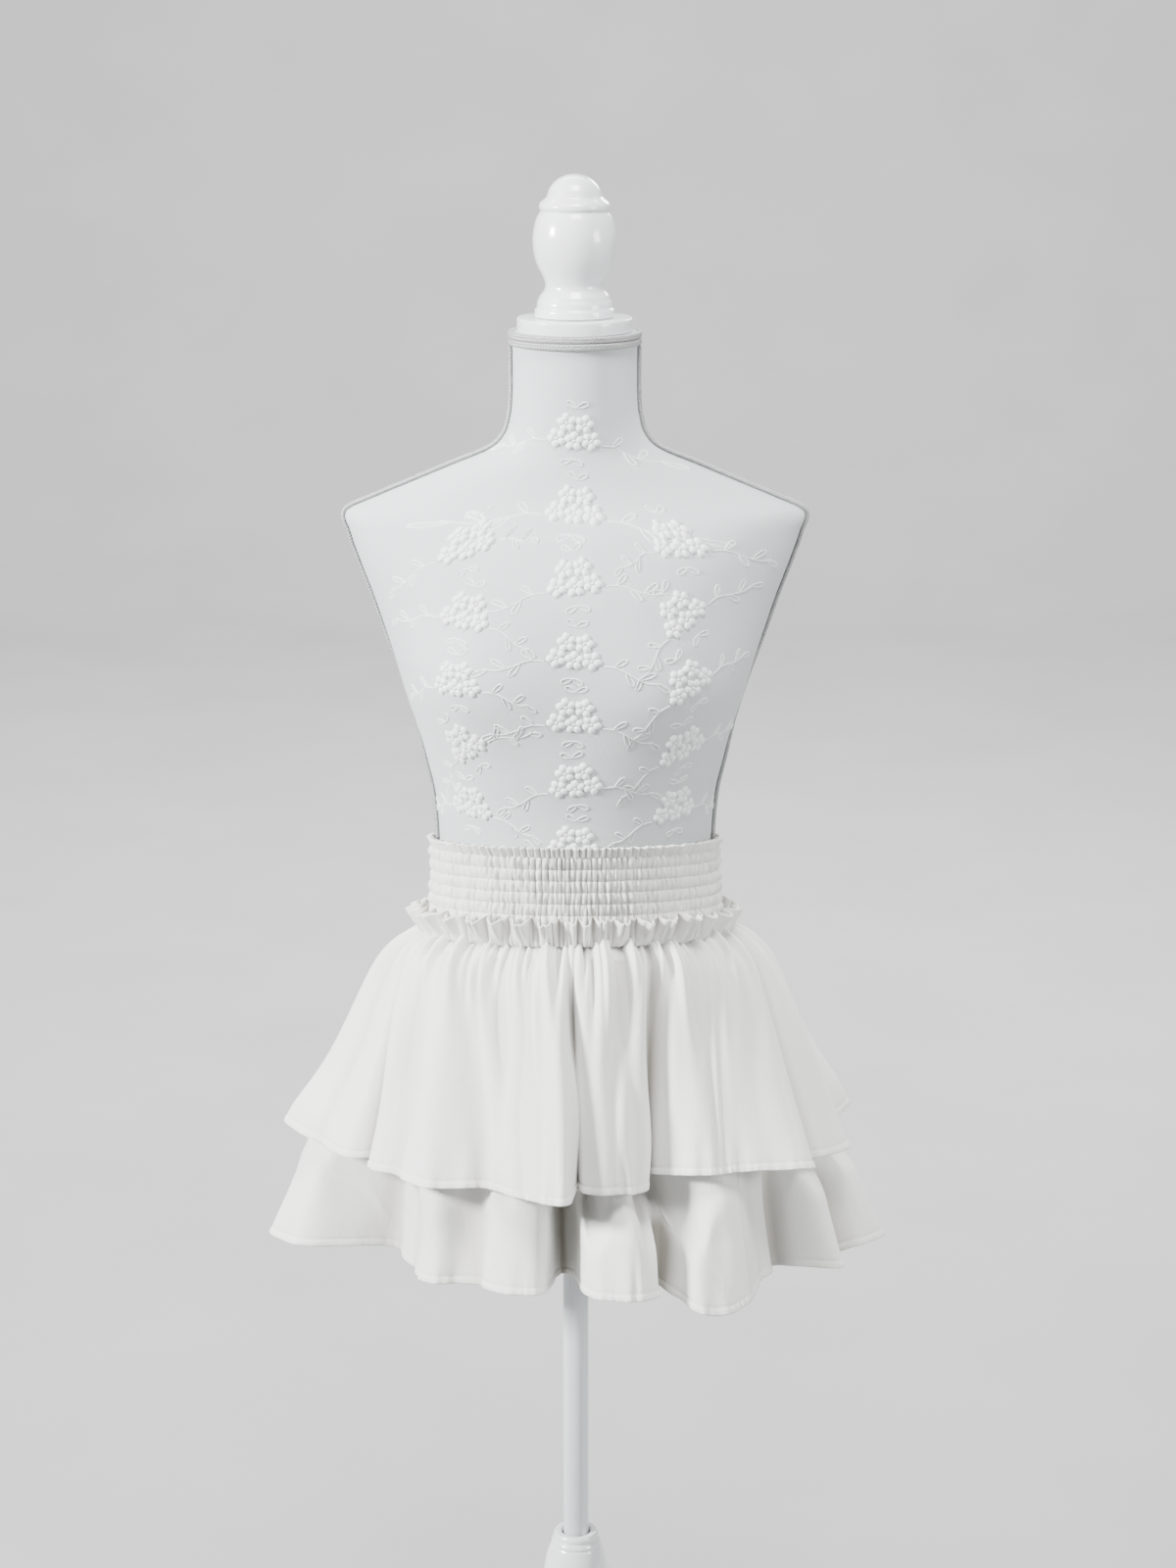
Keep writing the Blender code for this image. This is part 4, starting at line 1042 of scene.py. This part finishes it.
def sew_hem(name, cloth_points, normals, row):
    """A row of lockstitches along the hem, as one mesh of small rounded bars."""
    line = cloth_points[row]
    gone = gone_along(line)
    at = np.arange(STITCH_STEP, gone[-1] - STITCH_STEP, STITCH_STEP)
    place, up = read_at(at, gone, line), read_at(at, gone, normals[row])
    along = unit(read_at(at + STITCH_STEP / 3, gone, line) - place)
    across = np.cross(up, along)
    points, faces = [], []
    for k in range(len(at)):
        start = len(points)
        base = place[k] + up[k] * (CLOTH_WALL / 2)
        for share, rise in STITCH_PROFILE:
            here = base + along[k] * STITCH_LONG * share
            for side in (-0.5, 0.5):
                points.append(here + across[k] * STITCH_WIDE * side - up[k] * STITCH_SUNK)
            points.append(here + up[k] * STITCH_HIGH * rise)
        for a in range(start, start + 9, 3):
            b, c, d, e, f = range(a + 1, a + 6)
            faces += [(a, d, f, c), (c, f, e, b), (b, e, d, a)]
        faces += [(start, start + 2, start + 1), (start + 9, start + 10, start + 11)]
    points = [tuple(p) for p in points]
    return mesh_piece(name, points, faces, hem_thread, "skirt_cloth", face_outwards=True)


def make_panel(name, node, points, roots, t, length, relief):
    """A skirt panel from its middle surface and its relief, with its wall, hem and stitching."""
    rising = points[::-1]
    normals = outward_of(rising)
    calm = calm_at_seams(roots, PANEL_CALM)[None, :]
    shaped = rising + normals * (relief[::-1] * calm)[..., None]
    normals = outward_of(shaped)
    flat_across = np.radians(roots - roots[0]) * 0.20
    panel = cloth_piece(
        name, shaped, ivory_cotton, "skirt_cloth",
        flat_across[None, :], (1 - t[::-1, None]) * length,
    )
    # Painted shade: the panel is darkened deep in its folds.
    mark_painted_fold_shade(panel, shaped, 12, 0.0085)
    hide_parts(node)
    row = len(t) - 1 - int(np.abs((1 - t) * length - HEM_DEEP).argmin())
    stitches = sew_hem(f"{name}_stitching", shaped, normals, row)


hem_thread = Finish("hem_thread", Specular_IOR_Level=0.4)
twist = hem_thread.speckle(hem_thread.place(), 1800.0, 1.0)
hem_thread.use(
    Base_Color=hem_thread.tones(twist, (0.70, 0.69, 0.65), (0.90, 0.89, 0.86)),
    Roughness=twist * 0.2 + 0.5,
)

UPPER_LENGTH = 0.200
INWARD_MOST = 0.0036       # relief stays clear of the tier below
# root and share down of both ends, depth and half width
UPPER_CREASES = (
    (203, 0.56, 215, 0.66, -0.0016, 0.0022), (219, 0.50, 232, 0.58, 0.0013, 0.0020),
    (290, 0.74, 303, 0.86, -0.0013, 0.0022), (236, 0.70, 248, 0.80, -0.0010, 0.0020),
    (322, 0.60, 330, 0.72, 0.0012, 0.0020), (182, 0.80, 187, 0.90, -0.0012, 0.0020),
    (60, 0.55, 72, 0.64, -0.0014, 0.0022), (98, 0.66, 110, 0.60, 0.0012, 0.0020),
    (20, 0.70, 30, 0.78, -0.0012, 0.0020), (120, 0.45, 131, 0.56, -0.0012, 0.0022),
)
coarse = np.concatenate([
    [0.0, 0.004, 0.010], np.linspace(0.018, 0.16, 12), np.linspace(0.18, 1.0, 34),
])
for side_name, start in HALVES:
    roots = np.linspace(start, start + 180, TIER_COLUMNS)
    t = hem_rows(UPPER_LENGTH, coarse)
    points = tier_points(UPPER, roots, t)
    relief = (
        gather_puckers(roots, t, 3 + int(start), 3.4, 0.0080, 0.17)
        + gather_puckers(roots, t, 8 + int(start), 8.5, 0.0095, 0.60)
        + soft_swell(roots, t, 13 + int(start), 26, 0.0075)
        + hem_relief(roots, t, UPPER_LENGTH, 17 + int(start))
    )
    relief += press_creases(points, roots, t, UPPER_CREASES)
    relief = np.maximum(relief, -INWARD_MOST)
    make_panel(
        f"upper_panel_{side_name}", f"upper_tier_{side_name}", points, roots, t, UPPER_LENGTH,
        relief,
    )

# ----------------------------------------
# Lower tier. Two longer panels of the same cotton are sewn in under the upper ones and show
# below their hem, with a deep fold at the middle and a flap that turns back on the right.
LOWER = {
    "out": 0.0060, "side": 0.244, "front": 0.192, "hem_z": -0.352, "hem_tilt": 0.15,
    "folds": (
        (1.5, -12.5, 0.232, 0), (5, -9, 0.253, 0), (11, -8, 0.262, 0), (20, -7, 0.226, 0.002),
        (28, -4, 0.248, 0), (37, -2, 0.198, -0.002), (47, 0, 0.227, 0), (58, 0, 0.178, -0.002),
        (69, 0, 0.211, 0), (80, 0, 0.168, -0.002), (91, 0, 0.207, 0), (102, 0, 0.170, -0.002),
        (113, 0, 0.215, 0), (125, 0, 0.182, -0.002), (136, 0, 0.230, 0), (148, 0, 0.202, -0.002),
        (160, 0, 0.250, 0), (169, -1, 0.246, 0), (176, -1, 0.264, 0), (180, 1, 0.256, 0),
        (183, 4, 0.238, 0), (186, 3, 0.206, 0), (189, 1.5, 0.176, 0), (192.5, 0, 0.158, 0),
        (197, 1.5, 0.155, 0), (203, 9, 0.167, 0), (211, 12, 0.181, 0), (219, 13, 0.190, 0),
        (230, 12, 0.177, 0), (240, 11, 0.189, 0), (251, 9, 0.189, 0), (255, 8, 0.174, 0),
        (259, 4.5, 0.126, 0), (264, 2.5, 0.122, 0), (268, 3, 0.140, 0), (272, 1, 0.188, 0),
        (279, -1, 0.204, 0), (288, -4, 0.210, 0), (298, -8, 0.200, 0), (303, -9.5, 0.165, 0),
        (307, -12, 0.196, -0.006), (311, -14, 0.222, -0.013), (318, -15, 0.230, -0.014),
        (326, -17, 0.224, -0.008), (334, -18, 0.206, -0.002), (341, -16, 0.198, 0),
        (346, -17, 0.192, 0), (349, -18.5, 0.195, 0), (352, -20, 0.215, 0), (355, -21, 0.240, 0),
        (357, -19.5, 0.238, 0), (359.2, -16, 0.222, 0),
    ),
}
LAYER_GAP, GAP_START = 0.0058, 0.08
LEVEL_STEP, SECTORS, SECTOR_REACH = 0.008, 240, 2
RELEASE_START, HEM_RELEASE = 0.014, 2.0
SHORTS_TOP, SHORTS_CLEAR = -0.100, (0.0045, 0.0100)
# height from the waist, outer side, depth to the front and back, and wrap in degrees: 90 is
# the open rise, joined at the centre seam, and 180 a closed leg
SHORTS_LEVELS = (
    (-0.112, 0.1350, 0.1030, 0.1105, 90), (-0.150, 0.1440, 0.1080, 0.1170, 90),
    (-0.190, 0.1460, 0.1080, 0.1170, 90), (-0.222, 0.1455, 0.1030, 0.1120, 90),
    (-0.240, 0.1450, 0.0980, 0.1060, 118), (-0.254, 0.1450, 0.0940, 0.1000, 150),
    (-0.266, 0.1450, 0.0915, 0.0960, 180), (-0.315, 0.1480, 0.0900, 0.0920, 180),
)


def sector_of(points):
    return np.arctan2(points[..., 1], points[..., 0]) / (2 * np.pi) * SECTORS % SECTORS


def upper_inside():
    """For each height, the upper tier's least reach in every sector round the axis."""
    roots = np.arange(900) * 360 / 900
    shares = np.linspace(0, 1, 61)
    tier = tier_points(UPPER, roots, shares)
    top, bottom = tier[0, :, 2].max(), tier[-1, :, 2].min() - 0.08
    levels = []
    for z in top - LEVEL_STEP * np.arange(int((top - bottom) / LEVEL_STEP) + 2):
        t = (tier[0, :, 2] - z) / (tier[0, :, 2] - tier[-1, :, 2])
        at = np.clip(t, 0, 1) * 60
        low = np.minimum(at.astype(int), 59)
        part = (at - low)[:, None]
        column = np.arange(len(roots))
        point = tier[low, column] * (1 - part) + tier[low + 1, column] * part
        reach = np.hypot(point[:, 0], point[:, 1])
        reach += HEM_RELEASE * np.maximum(tier[-1, :, 2] - z - RELEASE_START, 0)
        reach -= LAYER_GAP * np.clip(t / GAP_START, 0, 1)
        least = np.full(SECTORS, 1.0)
        np.minimum.at(least, np.round(sector_of(point)).astype(int) % SECTORS, reach)
        spread = [np.roll(least, d) for d in range(-SECTOR_REACH, SECTOR_REACH + 1)]
        levels.append(np.min(spread, axis=0))
    return top, np.array(levels)


def smoothed(values, passes):
    """A grid of numbers with small steps between neighbours evened out."""
    for _ in range(passes):
        values = (np.roll(values, 1, 1) + 2 * values + np.roll(values, -1, 1)) / 4
        values[1:-1] = (values[:-2] + 2 * values[1:-1] + values[2:]) / 4
    return values


def shorts_limit(points):
    z = points[..., 2] - WAIST_Z
    outer, front, back = sizes_at(SHORTS_LEVELS[::-1], z)
    angle = np.arctan2(points[..., 1], points[..., 0])
    beside, before = SHORTS_CLEAR
    reach = ellipse_radius(angle, outer + beside, front + before, back + before)
    return np.where(z > SHORTS_TOP, 0.0, reach)


def kept_inside(points, t, inside):
    """The lower tier, held between the upper one and the shorts."""
    top, levels = inside
    level = np.clip((top - points[..., 2]) / LEVEL_STEP, 0, len(levels) - 1.001)
    sector = sector_of(points)
    low, left = level.astype(int), sector.astype(int)
    right = (left + 1) % SECTORS
    across, down = sector - left, level - low
    above = levels[low, left] * (1 - across) + levels[low, right] * across
    below = levels[low + 1, left] * (1 - across) + levels[low + 1, right] * across
    reach = np.hypot(points[..., 0], points[..., 1])
    kept = np.minimum(reach, above * (1 - down) + below * down)
    kept = np.maximum(kept, shorts_limit(points))
    moved = smoothed(kept - reach, 5) * np.clip(t[:, None] / 0.03, 0, 1)
    share = (reach + moved) / reach
    return points * np.stack([share, share, np.ones_like(share)], axis=-1)


LOWER_LENGTH = 0.292
SHOWS_FROM, SHOWS_OVER = 0.64, 0.16           # share down where the upper tier stops hiding it
LOWER_CREASES = (
    (196, 0.86, 204, 0.90, -0.0013, 0.0020), (188, 0.80, 192, 0.93, 0.0015, 0.0022),
    (276, 0.84, 290, 0.92, -0.0013, 0.0022), (218, 0.84, 236, 0.92, 0.0012, 0.0020),
    (312, 0.84, 320, 0.96, -0.0014, 0.0022), (70, 0.84, 84, 0.92, 0.0013, 0.0020),
    (120, 0.86, 134, 0.94, -0.0013, 0.0020), (24, 0.84, 36, 0.90, 0.0012, 0.0020),
)
coarse = np.concatenate([
    [0.0, 0.02, 0.05], np.linspace(0.10, 0.52, 9), np.linspace(0.56, 1.0, 34),
])
inside = upper_inside()
for side_name, start in HALVES:
    roots = np.linspace(start, start + 180, TIER_COLUMNS)
    t = hem_rows(LOWER_LENGTH, coarse)
    points = kept_inside(tier_points(LOWER, roots, t), t, inside)
    relief = (
        soft_swell(roots, t, 43 + int(start), 28, 0.0070)
        * np.clip((t[:, None] - SHOWS_FROM) / SHOWS_OVER, 0, 1)
        + hem_relief(roots, t, LOWER_LENGTH, 47 + int(start))
    )
    relief += press_creases(points, roots, t, LOWER_CREASES)
    make_panel(
        f"lower_panel_{side_name}", f"lower_tier_{side_name}", points, roots, t, LOWER_LENGTH,
        relief,
    )

# ----------------------------------------
# Shorts. Two plain legs of the same cotton under the tiers, joined by a centre seam and sewn
# into the gathers. The pole comes out of the left one. Each leg ends in a wider turned hem.
SHORTS_OUT, SHORTS_CENTRE, SHORTS_RISE_DEPTH = 0.0042, -0.032, 0.090
SEAM_GAP, SHORTS_WALL = 0.0003, 0.0015
SHORTS_COLUMNS = 120
SHORTS_HEM, SHORTS_HEM_PROUD = 0.020, 0.0004
SHORTS_FOLD = 0.0016

# The third colour is painted fold shade; the legs store no fold depth for it.
shorts_cotton = plain_cotton(
    "shorts_cotton", (0.74, 0.725, 0.68), (0.90, 0.89, 0.855), (0.42, 0.395, 0.345),
    0.15, 0.00028, 0.5,
)
for side_name, sign in (("left", -1), ("right", 1)):
    share = np.linspace(-1, 1, SHORTS_COLUMNS)
    heights = np.concatenate([
        [SHORTS_LEVELS[-1][0], -0.3142, -0.3125, -0.305, -0.297, -0.2955, -0.294],
        np.linspace(-0.288, SHORTS_LEVELS[0][0], 34),
    ])
    rows = []
    for z in heights:
        outer, front, back, wrap = (
            float(table_value(SHORTS_LEVELS[::-1], column, z)) for column in (1, 2, 3, 4)
        )
        wrap = math.radians(min(max(wrap, 90), 180))
        reach = sign * (outer * sign - SHORTS_CENTRE) - SEAM_GAP
        width = reach / (1 - math.cos(wrap))
        middle = -width * math.cos(wrap) + SEAM_GAP / 2
        turn = wrap * share
        depth = np.where(turn < 0, front, back)
        across = np.maximum(middle + width * np.cos(turn), SEAM_GAP / 2)
        fold = SHORTS_FOLD * np.sin(9 * turn + 1.2 * np.sin(2 * turn))
        fold = fold * np.clip(1 - share ** 4, 0, 1)
        fold = fold * np.clip((-z - 0.13) / 0.10, 0, 1)
        hem = SHORTS_HEM_PROUD * (z < SHORTS_LEVELS[-1][0] + SHORTS_HEM)
        rows.append(np.stack([
            SHORTS_CENTRE + sign * (across + (fold + hem) * np.cos(turn) + SHORTS_WALL / 2),
            (depth + fold + hem) * np.sin(turn), np.full_like(turn, WAIST_Z + z),
        ], axis=-1))
    turn = np.pi / 2 * share
    centre = SHORTS_CENTRE + sign * (SEAM_GAP + SHORTS_WALL) / 2
    side, _ = garment_ring(np.array(0.0 if sign > 0 else math.pi), BAND_BOTTOM, SHORTS_OUT)
    x = centre + (sign * side - centre) * np.cos(turn)
    angle = np.arctan2(SHORTS_RISE_DEPTH * np.sin(turn), x)
    radius, z = garment_ring(angle, BAND_BOTTOM - 0.001, SHORTS_OUT)
    sewn = polar(angle, radius, z)
    rows += [rows[-1] * (1 - k) + sewn * k for k in (0.25, 0.5, 0.75, 1.0)]
    points = np.array(rows)
    if sign < 0:
        points = points[:, ::-1]
    leg = cloth_piece(
        f"shorts_leg_{side_name}", points, shorts_cotton, "shorts_cloth",
        share[None, :] * 0.26, points[:, :, 2],
    )
    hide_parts(f"shorts_{side_name}")

# ----------------------------------------
# Studio. A roll of pale paper lies under the object and sweeps up far behind it. A key lamp,
# a fill and a lamp above light it softly, and two more light its back and the far paper.
SWEEP_FRONT, SWEEP_BACK, SWEEP_WIDE, SWEEP_HIGH = -12.0, 7.5, 9.0, 7.0
SWEEP_RADIUS, SWEEP_STEPS = 2.0, 16

paper = Finish("sweep_paper", Specular_IOR_Level=0.2)
grain = paper.speckle(paper.place(), 3.0, 4.0)
paper.use(
    Base_Color=paper.tones(grain, (0.32, 0.32, 0.322), (0.38, 0.38, 0.377)),
    Roughness=grain * 0.1 + 0.85,
)
profile = [(SWEEP_FRONT, 0.0), (SWEEP_BACK - SWEEP_RADIUS, 0.0)]
for k in range(1, SWEEP_STEPS + 1):
    a = math.pi / 2 * k / SWEEP_STEPS
    y = SWEEP_BACK - SWEEP_RADIUS + SWEEP_RADIUS * math.sin(a)
    profile.append((y, SWEEP_RADIUS * (1 - math.cos(a))))
profile.append((SWEEP_BACK, SWEEP_HIGH))
points = [(side * SWEEP_WIDE, y, z) for y, z in profile for side in (-1, 1)]
faces = [(2 * k, 2 * k + 1, 2 * k + 3, 2 * k + 2) for k in range(len(profile) - 1)]
mesh_piece("studio_sweep", points, faces, paper)

# place, what it points at, size and power
LAMPS = (
    ("key", (-2.4, -1.1, 2.1), (0.0, 0.0, 0.90), 0.5, 275.0),
    ("fill", (2.6, -1.3, 1.7), (0.0, 0.0, 0.90), 0.9, 66.0),
    ("sky", (0.1, -0.9, 3.2), (0.0, 0.0, 1.0), 0.8, 88.0),
    ("back", (1.3, 3.0, 2.6), (0.0, 0.0, 0.95), 0.9, 60.0),
    ("wall", (0.0, 2.6, 4.8), (0.0, 6.6, 0.9), 4.0, 1000.0),
)
for name, place, target, size, power in LAMPS:
    data = bpy.data.lights.new(f"lamp_{name}", "AREA")
    data.shape, data.size, data.energy = "SQUARE", size, power
    lamp = bpy.data.objects.new(f"lamp_{name}", data)
    lamp.location = place
    lamp.rotation_euler = (Vector(target) - Vector(place)).to_track_quat("-Z", "Y").to_euler()
    bpy.context.scene.collection.objects.link(lamp)
world = bpy.data.worlds.new("studio_air")
world.use_nodes = True
air = world.node_tree.nodes["Background"].inputs
air["Color"].default_value, air["Strength"].default_value = (0.93, 0.96, 1.0, 1.0), 0.16
bpy.context.scene.world = world

CAMERA_PLACE, CAMERA_PITCH, CAMERA_LENS = (0.0105, -2.46, 1.702), 14.7, 71.1
camera_data = bpy.data.cameras.new("studio_camera")
camera_data.lens, camera_data.sensor_width = CAMERA_LENS, 36.0
camera = bpy.data.objects.new("studio_camera", camera_data)
camera.location = CAMERA_PLACE
camera.rotation_euler = (math.radians(90 - CAMERA_PITCH), 0, 0)
bpy.context.scene.collection.objects.link(camera)
bpy.context.scene.camera = camera
